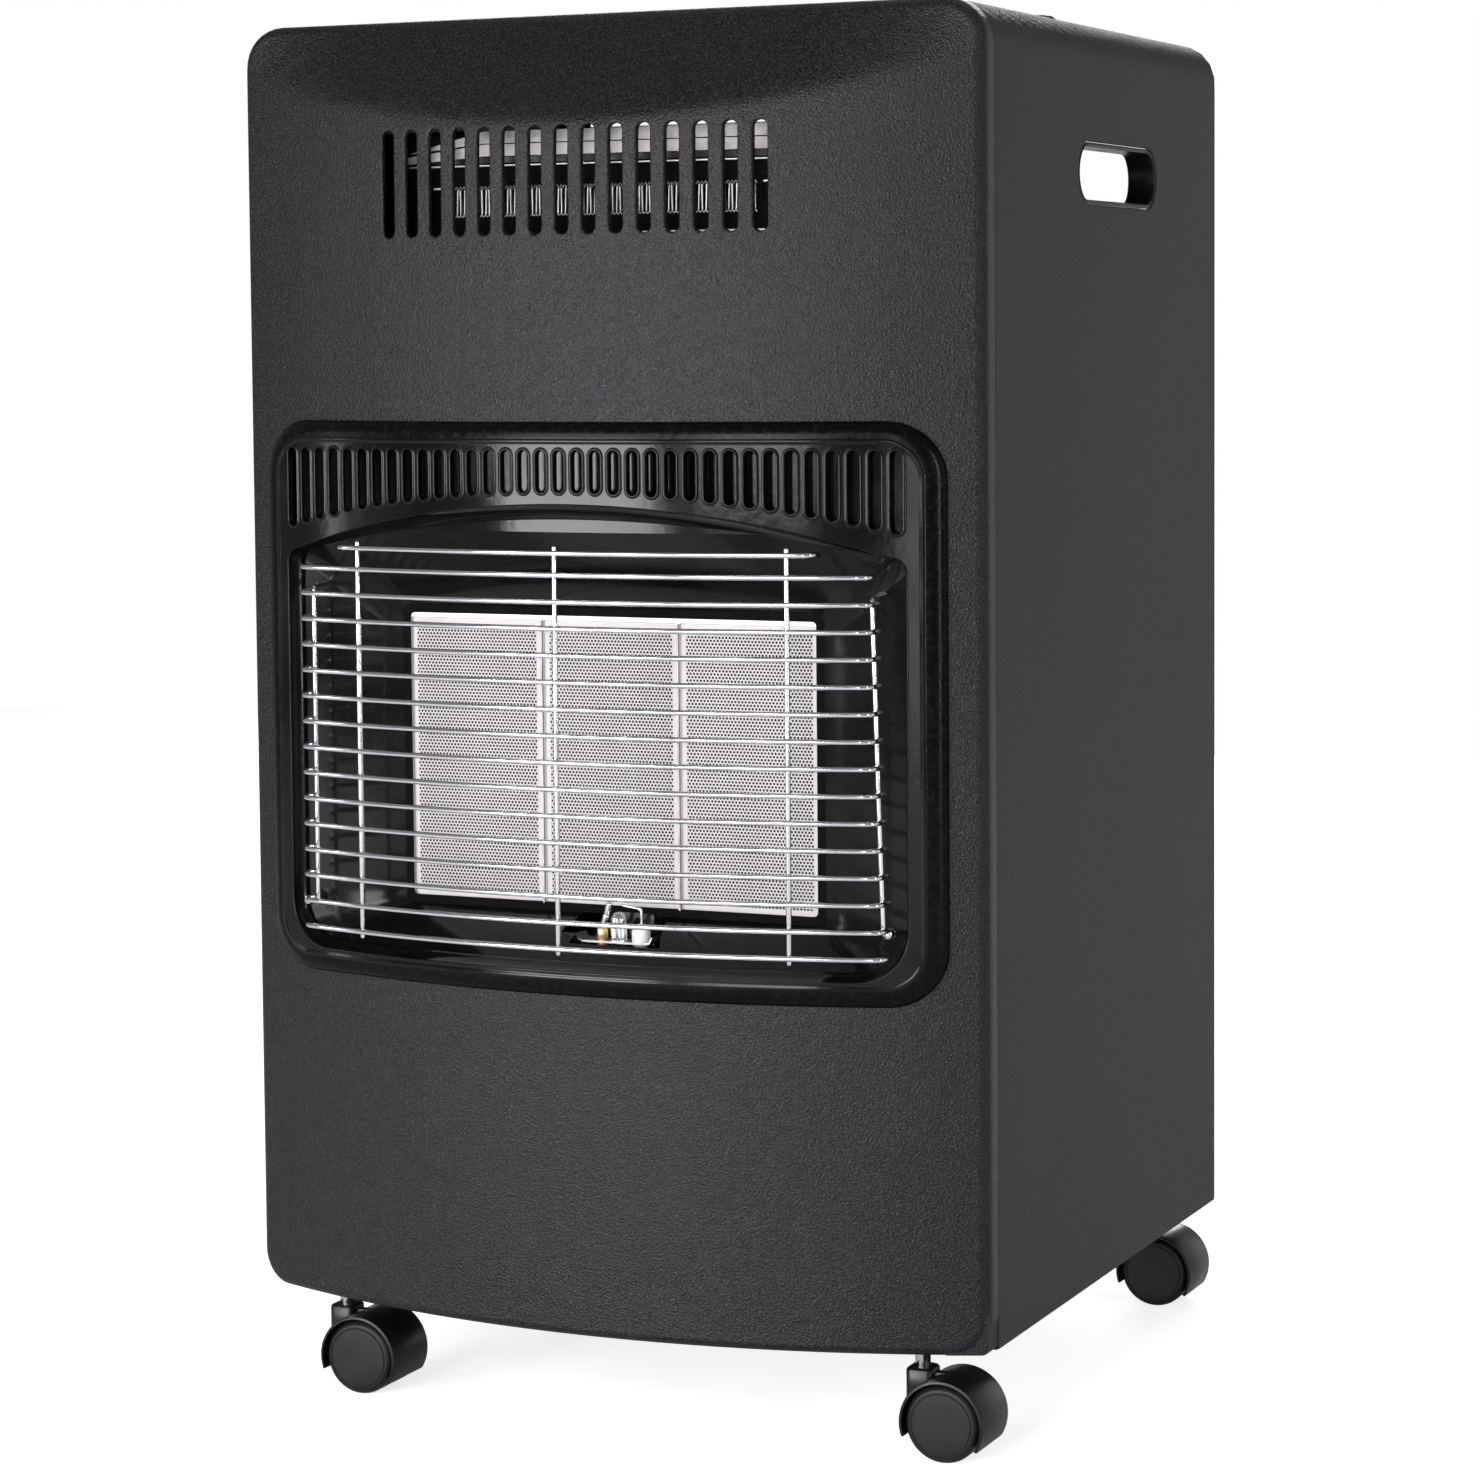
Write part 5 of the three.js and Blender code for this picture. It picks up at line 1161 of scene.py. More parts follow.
class HEATER_OT_pilot(bpy.types.Operator):
    """Pilot group: bracket, fluted pilot burner, thermocouple and insulated electrode."""

    bl_idname = "heater.pilot"
    bl_label = "Pilot group"

    def execute(self, context):
        s = context.scene.heater_burner
        a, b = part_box("pilot_burner")
        x, y, shelf = (a.x + b.x) / 2 + 0.0005, (a.y + b.y) / 2, a.z + 0.0146
        top = b.z + 0.0025
        tall = top - shelf
        self.bracket(s, y, shelf)
        bore, collar, stem = 0.0026, 0.003, 0.004
        foot = [(0, a.z), (bore, a.z), (bore, a.z + 0.007), (collar, a.z + 0.007),
                (collar, shelf - 0.0015), (0.0044, shelf - 0.0015), (0.0044, shelf), (0, shelf)]
        shaft = [(r, shelf + tall * part)
                 for r, part in ((0, 0.0), (stem, 0.0), (stem, 0.6), (0, 0.6))]
        dome = [(r, shelf + tall * part) for r, part in (
            (0, 0.56), (0.0036, 0.56), (0.0038, 0.62), (0.0041, 0.66), (0.0041, 0.74),
            (0.0036, 0.86), (0.0026, 0.95), (0.001, 0.995))]
        parts = [lathe(foot, (x, y, 0)),
                 lathe([*dome, (0, top)], (x, y, 0), segments=72, flutes=9, depth=0.05),
                 lathe(shaft, (x, y, 0), segments=96, flutes=12, depth=0.1)]
        piece("pilot_burner_skin", parts, "chrome", ["pilot_burner"])
        self.thermocouple(s, y, shelf)
        self.electrode(s, y, shelf, x, top)
        return {"FINISHED"}

    @staticmethod
    def bracket(s, y, shelf):
        """Thin shelf with curled ends over a dark folded foot."""
        a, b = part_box("pilot_bracket")
        eased("pilot_bracket", "enamel", 0.0002)
        half = 0.0062
        outline = [(a.x + 0.0012, 0.0032), (a.x + 0.0026, 0.0008), (a.x + 0.0052, 0.0),
                   (b.x - 0.0052, 0.0), (b.x - 0.0026, 0.0008), (b.x - 0.0012, 0.0036)]
        lower = [(x, shelf + z) for x, z in outline]
        upper = [(x, z + s.shelf) for x, z in lower[::-1]]
        shelf_plate = plate(np.array(lower + upper), y - half, y + half)
        piece("pilot_shelf", shelf_plate, "bright steel")

    @staticmethod
    def thermocouple(s, y, shelf):
        """Brass nut through the shelf, a collar, and a steel probe that leans to the flame."""
        base = low("thermocouple").z
        x = middle("thermocouple")[0] + 0.0031
        lead, half, neck, collar = 0.0017, s.nut / 2, s.nut * 0.34, s.nut * 0.3
        nut = [(0, base), (lead, base)]
        nut += [(r, shelf + z) for r, z in (
            (lead, -0.006), (half, -0.006), (half, -0.001), (neck, -0.001), (neck, 0.0012),
            (half - 0.0004, 0.0012), (half, 0.0018), (half, 0.0062), (half - 0.0005, 0.007),
            (collar, 0.0072), (collar, 0.0084), (0, 0.0084))]
        turned = lathe(nut, (x, y, 0), segments=36, flutes=6, depth=0.05)
        piece("thermocouple_nut", turned, "brass", ["thermocouple"])
        foot = np.array([x + 0.0006, y, shelf + 0.008])
        tip = np.array([x + 0.0044, y - 0.001, shelf + 0.0192])
        parts = [tube([foot, foot + (tip - foot) * 0.45], s.probe / 2 + 0.0003, 14),
                 tube([foot, tip], s.probe / 2, 14)]
        piece("thermocouple_probe", parts, "chrome")

    @staticmethod
    def electrode(s, y, shelf, x_pilot, top):
        """Stepped white insulator and the bent wire that ends over the pilot's dome."""
        base = low("electrode_insulator").z
        x, r = middle("electrode_insulator")[0], s.insulator / 2
        form = [(0, base), (r * 0.62, base), (r * 0.66, base + 0.0006)]
        form += [(radius, shelf + z) for radius, z in (
            (r * 0.66, -0.0016), (r * 0.9, -0.0012), (r, -0.0006), (r, 0.0064),
            (r - 0.0005, 0.0072), (r * 0.74, 0.0074), (r * 0.7, 0.0094), (r * 0.5, 0.0098),
            (0, 0.0098))]
        piece("electrode_insulator_skin", lathe(form, (x, y, 0), segments=36), "glaze",
              ["electrode_insulator"])
        bend, start = top + 0.0026, x + 0.0003
        path = smooth_path([(start, y, shelf + 0.009), (start, y, bend - 0.0006),
                            (x - 0.004, y, bend + 0.0002), (x_pilot + 0.0022, y, bend + 0.001)],
                           0.0012)
        piece("electrode_wire_skin", tube(path, 0.00075, 10), "chrome",
              ["electrode_wire"])


class HEATER_OT_shields(bpy.types.Operator):
    """Shields: the crimped deflector behind the vents and the wall before the bottle."""

    bl_idname = "heater.shields"
    bl_label = "Shields"

    def execute(self, context):
        s, f = context.scene.heater_shield, front()
        # Painted shade: the shield wall deep behind the vents is drawn near-black.
        eased("heat_shield", "soot", 0.0002)
        eased("compartment_shield", "zinc", 0.0004)
        half, wall, fold = s.crimp_half, f.face + s.wall, 0.00042
        high_lip, low_lip = f.top - s.crimp_drop, f.top - s.crimp_drop - s.crimp_tall
        parts = []
        for z, rise in ((high_lip, 0.0007), (low_lip, 0.0005)):
            x = np.arange(-half, half, s.crimp_pitch / 2)
            zigzag = z + rise * np.where(np.arange(len(x)) % 2, 1, -1)
            path = np.stack([x, np.full_like(x, wall - 0.0008), zigzag], 1)
            parts.append(tube(path, fold, 6))
        for x in np.arange(-half + s.crimp_pitch / 2, half, s.crimp_pitch):
            parts.append(self.bar(x, wall, low_lip + 0.0009, high_lip - 0.0009, fold))
        seam, foot, reach = f.top - s.seam_drop, f.top - 0.1118, f.half * 0.53
        parts.append(tube([(-reach, wall - 0.003, seam), (reach, wall - 0.003, seam)], 0.0005, 6))
        parts.append(tube([(0.02, wall - 0.002, foot), (reach, wall - 0.002, foot)], 0.0007, 6))
        for side in (-1, 1):
            ends = [(side * (half + out), wall - 0.0012, high_lip) for out in (0.004, 0.012)]
            parts.append(tube(ends, 0.0006, 6))
        piece("shield_crimps", parts, "pale steel")
        # Painted shade: a near-black plate behind the crimps, where only shade falls.
        shade_backing = rounded(0, (high_lip + low_lip) / 2, 0.39, s.crimp_tall + 0.012, 0.002, 2)
        piece("shield_backing", plate(shade_backing, wall + 0.0022, wall + 0.003), "soot")
        self.band(s, f)
        return {"FINISHED"}

    @staticmethod
    def bar(x, wall, z0, z1, half):
        """One narrow upright fold of the wall."""
        ring = [(x - half, wall + 0.0004), (x - half * 0.6, wall - 0.0006),
                (x + half * 0.6, wall - 0.0006), (x + half, wall + 0.0004)]
        lean = 0.0004 if round(x / half) % 2 else -0.0002
        return loft([[(a + lean * (z - z0) / (z1 - z0), b, z) for a, b in ring] for z in (z0, z1)])

    @staticmethod
    def band(s, f):
        """Bright bent band over the wall: flat, folded under with a painted-shade underside, and
        its left end slopes down.
        """
        y, high_edge = f.face + s.band, f.top - s.band_drop
        low_edge, reach = high_edge - s.band_tall, f.half * 0.55
        slope, fold = reach - 0.048, high_edge - 0.0062

        def strip(upper, lower, y):
            """A flat strip between two broken lines of (x, z)."""
            return plate(np.array([*lower, *upper[::-1]]), y, y + 0.0008)

        def line(end, level_z):
            """A broken line: level, with its left end at another height."""
            return [(-reach, end), (-slope, level_z), (reach, level_z)]

        top = strip([(-slope, high_edge), (reach, high_edge)],
                    [(-reach + 0.004, low_edge + 0.002), (-slope, fold), (reach, fold)], y)
        face = strip(line(low_edge, fold - 0.0006), line(low_edge - 0.0035, low_edge), y + 0.0002)
        piece("shield_band", [top, face], "brushed zinc")
        # Painted shade: the band's folded-under strip is drawn in matte near-black enamel.
        under = strip(line(low_edge - 0.0037, low_edge - 0.0004),
                      line(low_edge - 0.0042, low_edge - 0.0036), y + 0.0008)
        piece("shield_under_shade", under, "deep enamel")


class HEATER_OT_wrap(bpy.types.Operator):
    """Cabinet wrap: one folded sheet with round top edges, hand holes and folded rear edges."""

    bl_idname = "heater.wrap"
    bl_label = "Cabinet wrap"

    def execute(self, context):
        a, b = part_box("cabinet_wrap")
        radius = context.scene.heater_panel.top_corner
        half, top, base = b.x, b.z, a.z
        rise = top - base - radius
        turn = radius * math.pi / 2
        flat = 2 * (half - radius)
        total = 2 * rise + 2 * turn + flat

        def place(u, v, h):
            """Runs up the left side, round the corner, over the top and down the right side."""
            u, v, h = np.broadcast_arrays(u, v, h)
            from_middle = np.abs(u - total / 2)
            side = np.sign(u - total / 2)
            on_top = np.minimum(from_middle, flat / 2)
            angle = np.clip(from_middle - flat / 2, 0, turn) / radius
            fall = np.maximum(from_middle - flat / 2 - turn, 0)
            x = on_top + (radius + h) * np.sin(angle)
            z = top - radius + (radius + h) * np.cos(angle) - fall
            return np.stack([side * x, v, z], -1)

        y0, y1 = a.y, b.y
        liner_flange, well_flange = 0.006, 0.0083
        outline = refine(rounded(total / 2, (y0 + y1) / 2, total, y1 - y0, 0.0018, 3), 0.008)
        rim = [(0.0009, 0), (0.0003, -0.0002), (0, -0.0009), (0.0008, -0.0012)]
        edges = [edge(outline, rim, outer=True)]
        lip = [(0.0012, 0), (0.0006, -0.0001), (0.0001, -0.0006), (0, -0.0014)]
        for side in (-1, 1):
            liner = "handle_liner_" + ("left" if side < 0 else "right")
            p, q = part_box(liner)
            _, y, z = middle(liner)
            u = total / 2 + side * (flat / 2 + turn + top - radius - z)
            tall, wide = q.z - p.z - 2 * liner_flange, q.y - p.y - 2 * liner_flange
            hole = rounded(u, y, tall, wide, tall / 2, 10)
            edges.append(edge(refine(hole, HOLE_STEP), lip))
        p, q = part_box("control_well")
        x, y, _ = middle("control_well")
        well = rounded(total / 2 + x, y,
                       q.x - p.x - 2 * well_flange + 0.0006,
                       q.y - p.y - 2 * well_flange + 0.0006, 0.014, 6)
        edges.append(edge(refine(well, 0.008), lip))
        skin = pierced(edges, place, 0.009)
        rear = self.fold(half, top, base, y1, radius, 0.018, -1)
        ahead = self.fold(half, top, base, y0, radius, 0.032, 1)
        piece("cabinet_wrap_skin", [skin, rear, ahead], "side coat",
              ["cabinet_wrap"])
        return {"FINISHED"}

    @staticmethod
    def fold(half, top, base, y, radius, width, inward):
        """A folded edge: an arch-shaped band in a plane of constant y, turned to +y or -y."""
        rings = []
        for inset, back in ((0.0009, 0.0012), (0.0013, 0.0), (width, 0.0), (width, 0.0012)):
            angle = np.linspace(0, np.pi / 2, 9)
            r = max(radius - inset, 0.002)
            x, z = half - inset - r + r * np.cos(angle), top - inset - r + r * np.sin(angle)
            right = np.concatenate([[(half - inset, base)], np.stack([x, z], 1)])
            ring = np.concatenate([right, right[::-1] * (-1, 1)])
            rings.append(upright(ring, y + inward * back))
        faces = quads(len(rings), len(rings[0]), closed=False)
        return Part(rings, [f[::-1] for f in faces] if inward < 0 else faces)


class HEATER_OT_handles(bpy.types.Operator):
    """Hand-hole liners: glossy black collars with a rolled lip, one in each side."""

    bl_idname = "heater.handles"
    bl_label = "Hand holes"

    def execute(self, context):
        for side, name in ((-1, "handle_liner_left"), (1, "handle_liner_right")):
            a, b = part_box(name)
            _, y, z = middle(name)
            outer = b.x if side > 0 else a.x
            wide, tall = b.y - a.y - 0.0126, b.z - a.z - 0.0126
            steps = [(0.0, 0.004), (0.0, 0.0008), (-0.0006, 0.0002), (-0.0014, 0.0),
                     (-0.0022, 0.0006), (-0.0024, 0.002), (-0.0024, 0.0152), (-0.0016, 0.0158),
                     (0.0, 0.016), (0.0, 0.004)]
            rings = []
            for grow, deep in steps:
                outline = rounded(y, z, wide + 2 * grow, tall + 2 * grow, tall, 14)
                rings.append(np.column_stack([np.full(len(outline), outer - side * deep), outline]))
            rings = rings if side > 0 else [r[::-1] for r in rings]
            piece(name + "_skin", loft(rings, caps=False), "black plastic", [name])
        return {"FINISHED"}


class HEATER_OT_rear(bpy.types.Operator):
    """Rear cover: pressed sheet with a sunk field, hooded louvres, a pull slot and studs."""

    bl_idname = "heater.rear"
    bl_label = "Rear cover"

    def execute(self, context):
        a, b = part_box("rear_cover")
        y, z_middle, tall, half = b.y, (a.z + b.z) / 2, b.z - a.z, b.x
        louvre_wide, louvre_tall, rows, row_pitch = 0.09, 0.006, 6, 0.026
        sunk_deep, hood_high, shoulder = 0.0045, 0.0034, 0.018
        field_half, field_tall, field_z = half - 0.035, tall - 0.1225, z_middle - 0.0175
        louvres = [(side * 0.085, a.z + 0.12 + row * row_pitch)
                   for side in (-1, 1) for row in range(rows)]
        holes = [rounded(x, z, louvre_wide, louvre_tall, louvre_tall / 2, 5) for x, z in louvres]
        holes.append(rounded(0, b.z - 0.035, 0.11, 0.024, 0.012, 8))
        outline = refine(rounded(0, z_middle, 2 * half, tall, 0.008, 6), 0.009)
        rim = [(0.001, 0), (0.0003, -0.0003), (0, -0.001), (0, -0.0013)]
        lip = [(0.001, 0), (0.0005, -0.0001), (0.0001, -0.0005), (0, -0.0013)]
        edges = [edge(outline, rim, outer=True)]
        edges += [edge(refine(hole, HOLE_STEP), lip) for hole in holes]

        def place(u, v, h):
            """Sunk field with soft shoulders, and a raised hood over each louvre."""
            beside = np.maximum(np.abs(u) - field_half + shoulder, 0)
            beyond = np.maximum(np.abs(v - field_z) - field_tall / 2 + shoulder, 0)
            out = np.clip((np.sqrt(beside**2 + beyond**2) - 0.013) / 0.006, 0, 1)
            sunk = sunk_deep * (1 - out**2 * (3 - 2 * out))
            hood = 0.0 * u
            for x, z in louvres:
                along = np.clip(1 - (np.abs(u - x) / 0.049) ** 6, 0, 1)
                over = (v - z - louvre_tall / 2) / 0.009
                swell = hood_high * along * np.exp(-((over - 0.25) ** 2) * 5.5)
                hood = np.maximum(hood, swell * (v > z - 0.0002))
            raised = np.minimum(hood, hood_high)
            return np.stack([-u, y - 0.0001 - sunk + raised + h, v + 0 * u], -1)

        extra = [refine(rounded(0, field_z, 2 * field_half + d, field_tall + d, 0.02, 10), 0.006)
                 for d in np.linspace(-0.014, 0.006, 9)]
        piece("rear_cover_skin", pierced(edges, place, FIELD_STEP, extra), "side coat",
              ["rear_cover"], body="cover")
        head = [(0, y - 0.0022), (0.0045, y - 0.0022), (0.0045, y - 0.0009), (0.0035, y), (0, y)]
        studs = [lathe(head, (x, 0, b.z - 0.02), "y", 20) for x in (-0.196, 0.196)]
        piece("rear_cover_studs", studs, "chrome", body="cover")
        return {"FINISHED"}


class HEATER_OT_controls(bpy.types.Operator):
    """Controls: sunk well, fluted knob with its marks, igniter button, tap and pipes."""

    bl_idname = "heater.controls"
    bl_label = "Controls"

    def execute(self, context):
        eased("control_well", "black plastic", 0.0006)
        x, y, _ = middle("control_knob")
        foot = low("control_knob").z
        top = foot + 0.022
        skirt = [(0.0044, foot), (0.0205, foot), (0.021, foot + 0.0008), (0.0208, foot + 0.0026),
                 (0.0192, foot + 0.0046), (0.0168, foot + 0.0064), (0, foot + 0.007)]
        grip = [(0, foot + 0.005), (0.0162, foot + 0.005), (0.0158, top - 0.003),
                (0.0152, top - 0.0012), (0.0138, top - 0.0003), (0.012, top),
                (0.0115, top - 0.0006), (0, top - 0.0009)]
        parts = [lathe(skirt, (x, y, 0), segments=72),
                 lathe(grip, (x, y, 0), segments=168, flutes=14, depth=0.055)]
        piece("control_knob_skin", parts, "black plastic", ["control_knob"],
              body="knob")
        centre = (x, y - 0.0105)
        bar = rounded(*centre, 0.0022, 0.0125, 0.0011, 5)
        rings = [level(bar, top - 0.002), level(bar, top + 0.0004),
                 level(centre + (bar - centre) * 0.8, top + 0.0007)]
        piece("knob_pointer", loft(rings), "pale plastic", body="knob")
        self.marks(x, y)
        eased("piezo_body", "black plastic", 0.0004)
        eased("piezo_button", "red plastic", 0.0005)
        eased("valve_spindle", "brass", 0.0002)
        eased("gas_valve", "cast alloy", 0.0009)
        eased("hose_inlet", "brass", 0.0002)
        for name in ("supply_pipe", "pilot_pipe", "thermocouple_lead"):
            eased(name, "copper", 0.0, 75.0)
        eased("ignition_lead", "silicone", 0.0, 75.0)
        return {"FINISHED"}

    @staticmethod
    def marks(x, y):
        """Dial marks on the well's floor: a dot for off and three growing arcs for the settings."""
        floor = high("control_well").z - 0.016 + 0.0001
        top, reach = floor + 0.0002, 0.0245
        parts = []
        for start, width in ((-30, 0.0008), (30, 0.0014), (90, 0.002)):
            angle = np.radians(np.linspace(start, start + 42, 16))
            arc = np.stack([np.cos(angle), np.sin(angle)], 1)
            ring = np.concatenate([(x, y) + (reach + width / 2) * arc,
                                   ((x, y) + (reach - width / 2) * arc)[::-1]])
            parts.append(loft([level(ring, z) for z in (floor, top)]))
        dot = [(0, floor), (0.0013, floor), (0.0013, top), (0, top)]
        parts.append(lathe(dot, (x, y - reach, 0)))
        piece("dial_marks", parts, "pale plastic")


class HEATER_OT_casters(bpy.types.Operator):
    """Casters: twin wheels under a rounded hood, a swivel boss and a bright stem."""

    bl_idname = "heater.casters"
    bl_label = "Casters"

    def execute(self, context):
        s = context.scene.heater_caster
        for name in CASTERS:
            x, y, _ = middle("caster_stem_" + name)
            eased("caster_stem_" + name, "chrome", 0.0002)
            piece("caster_hood_skin_" + name, self.hood(s, x, y), "black plastic",
                  ["caster_hood_" + name], angle=42.0, body="swivel_" + name)
            eased("caster_axle_" + name, "chrome", 0.0002)
            for side, end in ((-1, "fore"), (1, "aft")):
                piece(f"caster_wheel_skin_{name}_{end}", self.wheel(s, x, y, side),
                      "tyre plastic", [f"caster_wheel_{name}_{end}"],
                      body=f"wheel_{name}_{end}")
        eased("base_tray", "side coat", 0.0005)
        return {"FINISHED"}

    @staticmethod
    def hood(s, x, y):
        """Rounded band over the wheels from low in front to low behind, with web and boss."""
        outer, inner, half = s.hood, s.hood - s.wall, s.width / 2
        section = np.array([
            (inner, -half), (outer - 0.0009, -half), (outer - 0.0002, -half + 0.0003),
            (outer, -half + 0.0010), (outer, half - 0.0010), (outer - 0.0002, half - 0.0003),
            (outer - 0.0009, half), (inner, half), (inner, half - 0.002), (inner - 0.0001, 0.0),
            (inner, -half + 0.002)])
        angle = np.radians(np.linspace(-32, 200, 48))
        cx, cz = x + s.trail, s.wheel
        rings = [np.stack([cx + section[:, 0] * np.cos(t), y + section[:, 1],
                           cz + section[:, 0] * np.sin(t)], 1) for t in angle]
        angle = np.radians(np.linspace(-30, 198, 40))
        reach = outer - 0.001
        web = np.stack([cx + reach * np.cos(angle), cz + reach * np.sin(angle)], 1)
        web = web[web[:, 1] > 0.0065]
        boss = [level(rounded(x, y, 0.0142 + 2 * grow, 0.0156 + 2 * grow, 0.003, 5), z)
                for z, grow in ((0.026, -0.001), (0.0275, 0.0), (0.0436, 0.0),
                                (0.0446, -0.0006), (0.045, -0.0014))]
        fin = [level(rounded(x + 0.0055, y, wide, 0.0052, 0.001, 3), z)
               for z, wide in ((0.0405, 0.0265), (0.0425, 0.019))]
        return [loft(rings), plate(web, y - 0.002, y + 0.002), loft(boss), loft(fin)]

    @staticmethod
    def wheel(s, x, y, side):
        """Wheel with a crowned tread, a rounded shoulder and a face dished inside a fine line."""
        r, inner, outer = s.wheel, 0.003, 0.018
        profile = [(0.0028, inner), (r - 0.0015, inner), (r - 0.0004, inner + 0.0006),
                   (r, inner + 0.002), (r, outer - 0.004), (r - 0.0005, outer - 0.0022),
                   (r - 0.0016, outer - 0.0008), (r - 0.0028, outer - 0.0002),
                   (r - 0.0034, outer - 0.0002), (r - 0.0036, outer - 0.0007),
                   (r - 0.0041, outer - 0.0007), (r - 0.0044, outer - 0.0002),
                   (r * 0.6, outer), (r * 0.3, outer), (0, outer)]
        turned = [(radius, side * d) for radius, d in profile]
        return lathe(turned[::side], (x + s.trail, y, s.wheel), "y", 64)


class HEATER_OT_fasteners(bpy.types.Operator):
    """Small fasteners: domed screws round the rear edges, and two studs that hold the guard."""

    bl_idname = "heater.fasteners"
    bl_label = "Fasteners"

    def execute(self, context):
        s, f = context.scene.heater_guard, front()
        y, top = high("cabinet_wrap").y, high("cabinet_wrap").z
        rear = [self.screw((x, y, top - 0.0105), 0.0032) for x in (-0.15, -0.05, 0.05, 0.15)]
        for side in (-1, 1):
            rear += [self.screw((side * 0.2055, y, top - 0.05 - 0.16 * i), 0.0022)
                     for i in range(4)]
        piece("rear_screws", rear, "bright steel")
        z, y = low("wire_guard").z + 0.0135, f.bow(s.half, s.proud) + s.leg
        head = [(0, -0.0012), (0.001, -0.0011), (0.0022, -0.0006), (0.0028, 0.0006),
                (0.0026, 0.004), (0, 0.004)]
        studs = [lathe(head, (side * (s.half + s.splay * 0.75), y, z), "y", 20)
                 for side in (-1, 1)]
        piece("guard_studs", studs, "chrome")
        return {"FINISHED"}

    @staticmethod
    def screw(place, radius):
        """Low domed head, seated on the sheet that faces the rear."""
        profile = [(0, -0.0008), (radius, -0.0008), (radius, 0.0002), (radius * 0.8, 0.0009),
                   (radius * 0.4, 0.0012), (0, 0.0013)]
        return lathe(profile, place, "y", 20)


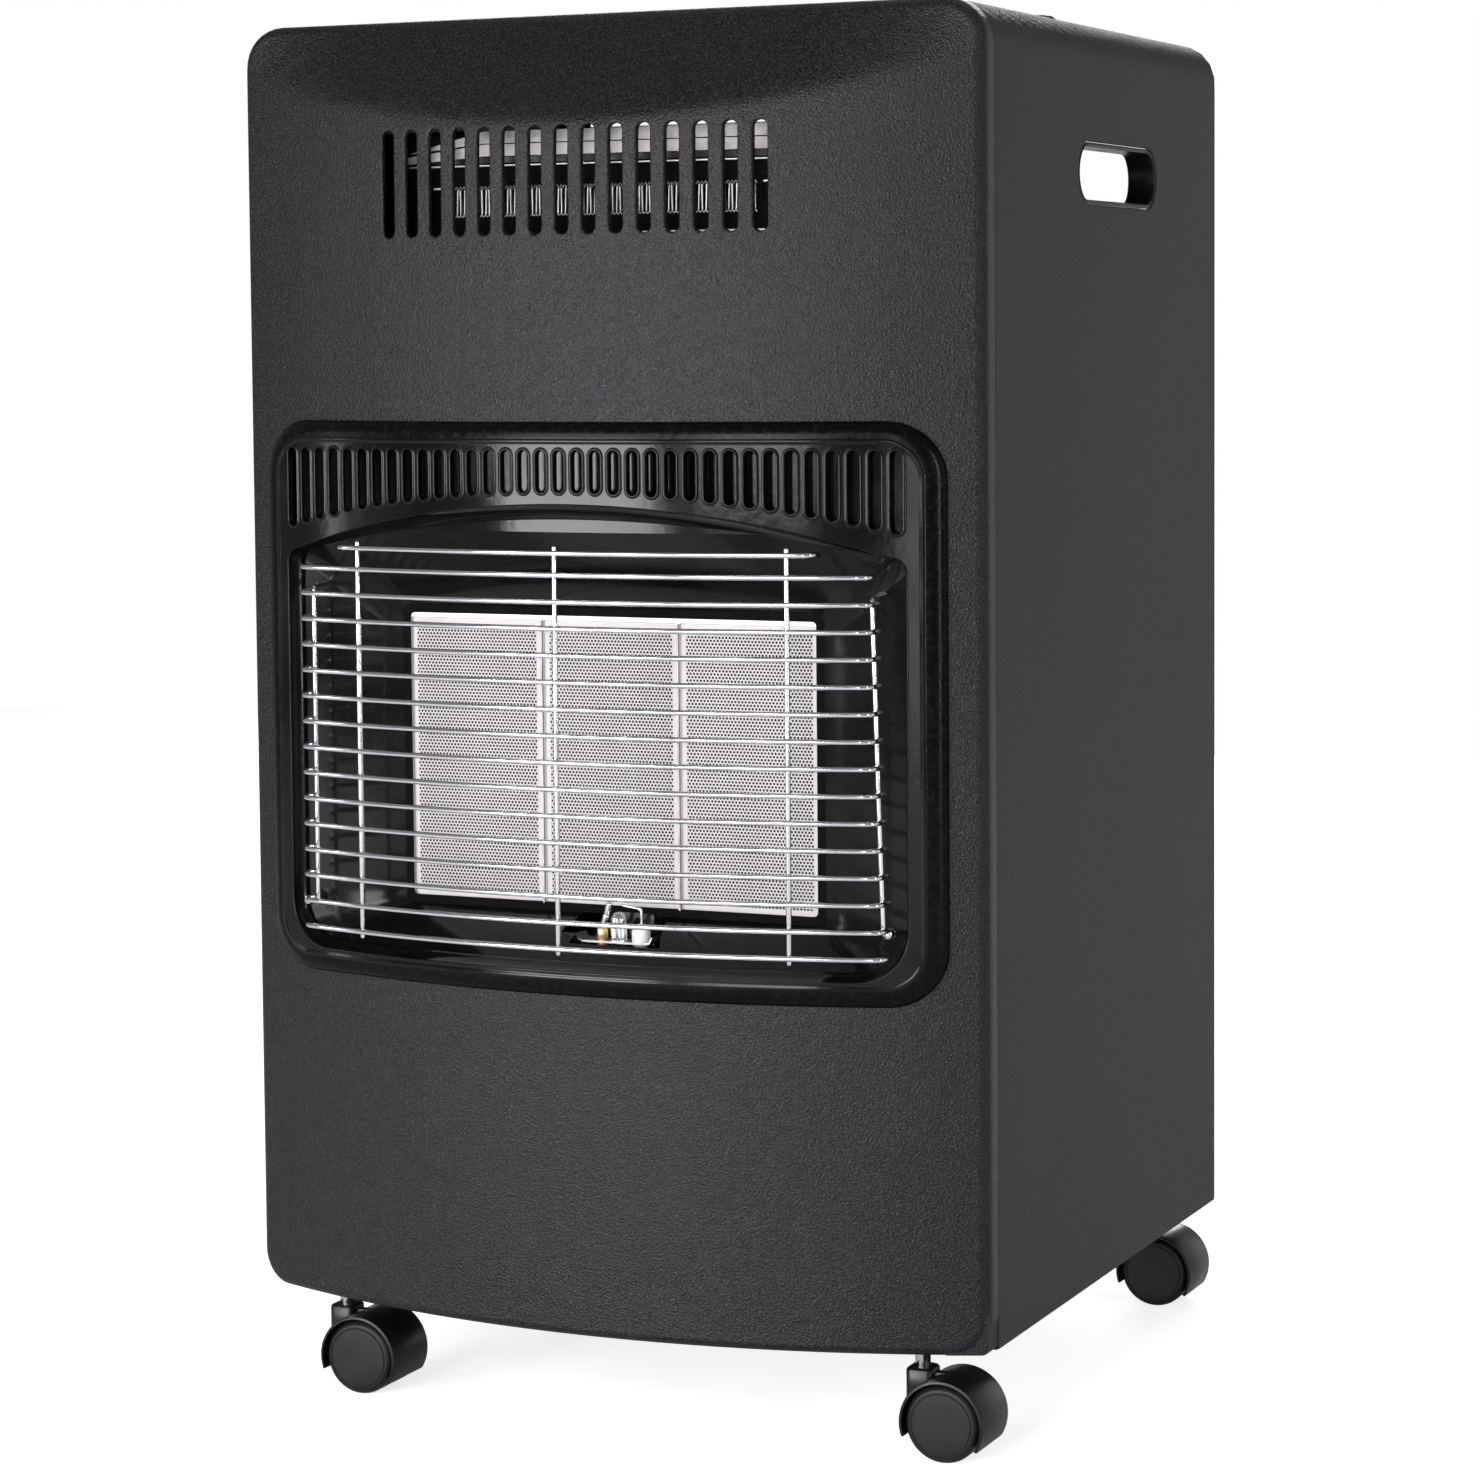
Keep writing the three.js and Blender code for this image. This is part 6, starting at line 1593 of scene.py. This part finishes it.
class HEATER_OT_stage(bpy.types.Operator):
    """Stage: pale floor, soft studio lights, white surround and the camera."""

    bl_idname = "heater.stage"
    bl_label = "Stage"

    def execute(self, context):
        context.scene.view_settings.view_transform = "Standard"
        self.floor()
        self.surround(context.scene)
        for light in LIGHTS:
            self.light(*light)
        self.camera(context.scene)
        return {"FINISHED"}

    @staticmethod
    def floor():
        """One large pale square that also shines white at the camera, under the shadow."""
        mesh, reach = bpy.data.meshes.new("floor"), 3.0
        corners = [(-reach, -reach, 0), (reach, -reach, 0), (reach, reach, 0), (-reach, reach, 0)]
        mesh.from_pydata(corners, [], [(0, 1, 2, 3)])
        made = Finish("floor", (0.86, 0.86, 0.86), Roughness=0.9, Emission_Strength=0.74)
        faint = made.place.noise(3.0, 2.0)
        made.put(
            Base_Color=faint.mix(rgb(0.86), rgb(0.88)),
            Emission_Color=seen(made.place.tree).mix(rgb(0.0), rgb(1.0)),
        )
        mesh.materials.append(made.material)
        floor = bpy.data.objects.new("floor", mesh)
        bpy.context.scene.collection.objects.link(floor)
        floor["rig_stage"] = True

    @staticmethod
    def surround(scene):
        """White behind the object, a softer grey in its reflections and for its light."""
        world = bpy.data.worlds.new("surround")
        world.use_nodes = True
        tree = world.node_tree
        tone = seen(tree).mix(rgb(0.14, 0.135, 0.142), rgb(1.0))
        tree.links.new(tone.socket, tree.nodes["Background"].inputs["Color"])
        scene.world = world

    @staticmethod
    def light(name, place, target, size, power):
        """A soft rectangular light that looks at a target."""
        data = bpy.data.lights.new(name, "AREA")
        data.shape = "RECTANGLE"
        data.size, data.size_y = size
        data.energy = power
        data.color = (1.0, 0.975, 0.995)
        made = bpy.data.objects.new(name, data)
        made.location = place
        aim = Vector(target) - Vector(place)
        made.rotation_mode = "QUATERNION"
        made.rotation_quaternion = aim.to_track_quat("-Z", "Y")
        bpy.context.scene.collection.objects.link(made)

    @staticmethod
    def camera(scene):
        """The photograph's camera: three turns, a place and a long lens."""
        yaw, pitch, roll = (math.radians(turn) for turn in CAMERA_TURNS)
        ahead = Vector((-math.sin(yaw) * math.cos(pitch), math.cos(yaw) * math.cos(pitch),
                        -math.sin(pitch)))
        level = Vector((math.cos(yaw), math.sin(yaw), 0))
        down = ahead.cross(level)
        right = level * math.cos(roll) + down * math.sin(roll)
        under = down * math.cos(roll) - level * math.sin(roll)
        data = bpy.data.cameras.new("camera")
        data.sensor_width = 36.0
        data.lens = FOCAL_PIXELS / PHOTO_PIXELS * data.sensor_width
        data.shift_y = -(PHOTO_PIXELS / 2 - CENTRE_ROW) / PHOTO_PIXELS
        data.clip_end = 60.0
        camera = bpy.data.objects.new("camera", data)
        turn = Matrix((right, -under, -ahead)).transposed().to_4x4()
        camera.matrix_world = Matrix.Translation(CAMERA_PLACE) @ turn
        scene.collection.objects.link(camera)
        scene.camera = camera


class HEATER_PT_build(bpy.types.Panel):
    """Buttons that build the heater's groups."""

    bl_idname = "HEATER_PT_build"
    bl_label = "Gas Cabinet Heater"
    bl_space_type = "VIEW_3D"
    bl_region_type = "UI"
    bl_category = "Heater"

    def draw(self, context):
        for operator in OPERATORS:
            self.layout.operator(operator.bl_idname)


SIZES = {
    "heater_panel": PanelSizes,
    "heater_bezel": BezelSizes,
    "heater_guard": GuardSizes,
    "heater_burner": BurnerSizes,
    "heater_shield": ShieldSizes,
    "heater_caster": CasterSizes,
}
OPERATORS = (
    HEATER_OT_panel,
    HEATER_OT_bezel,
    HEATER_OT_reflector,
    HEATER_OT_burners,
    HEATER_OT_guard,
    HEATER_OT_pilot,
    HEATER_OT_shields,
    HEATER_OT_wrap,
    HEATER_OT_handles,
    HEATER_OT_rear,
    HEATER_OT_controls,
    HEATER_OT_casters,
    HEATER_OT_fasteners,
    HEATER_OT_stage,
)
CLASSES = (*SIZES.values(), *OPERATORS, HEATER_PT_build)


def register():
    """Registers the classes and puts the sizes on the scene."""
    for item in CLASSES:
        bpy.utils.register_class(item)
    for name, group in SIZES.items():
        setattr(bpy.types.Scene, name, bpy.props.PointerProperty(type=group))


def unregister():
    """Takes everything away again."""
    for name in SIZES:
        delattr(bpy.types.Scene, name)
    for item in reversed(CLASSES):
        bpy.utils.unregister_class(item)


def main():
    """Builds the heater, then works out the frame's box and the finished one."""
    register()
    for operator in OPERATORS:
        group, name = operator.bl_idname.split(".")
        getattr(getattr(bpy.ops, group), name)()
    boxes = {"cad": CAD_BOX, "visual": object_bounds()}
    {name: [list(corner) for corner in box] for name, box in boxes.items()}


if __name__ == "__main__":
    main()
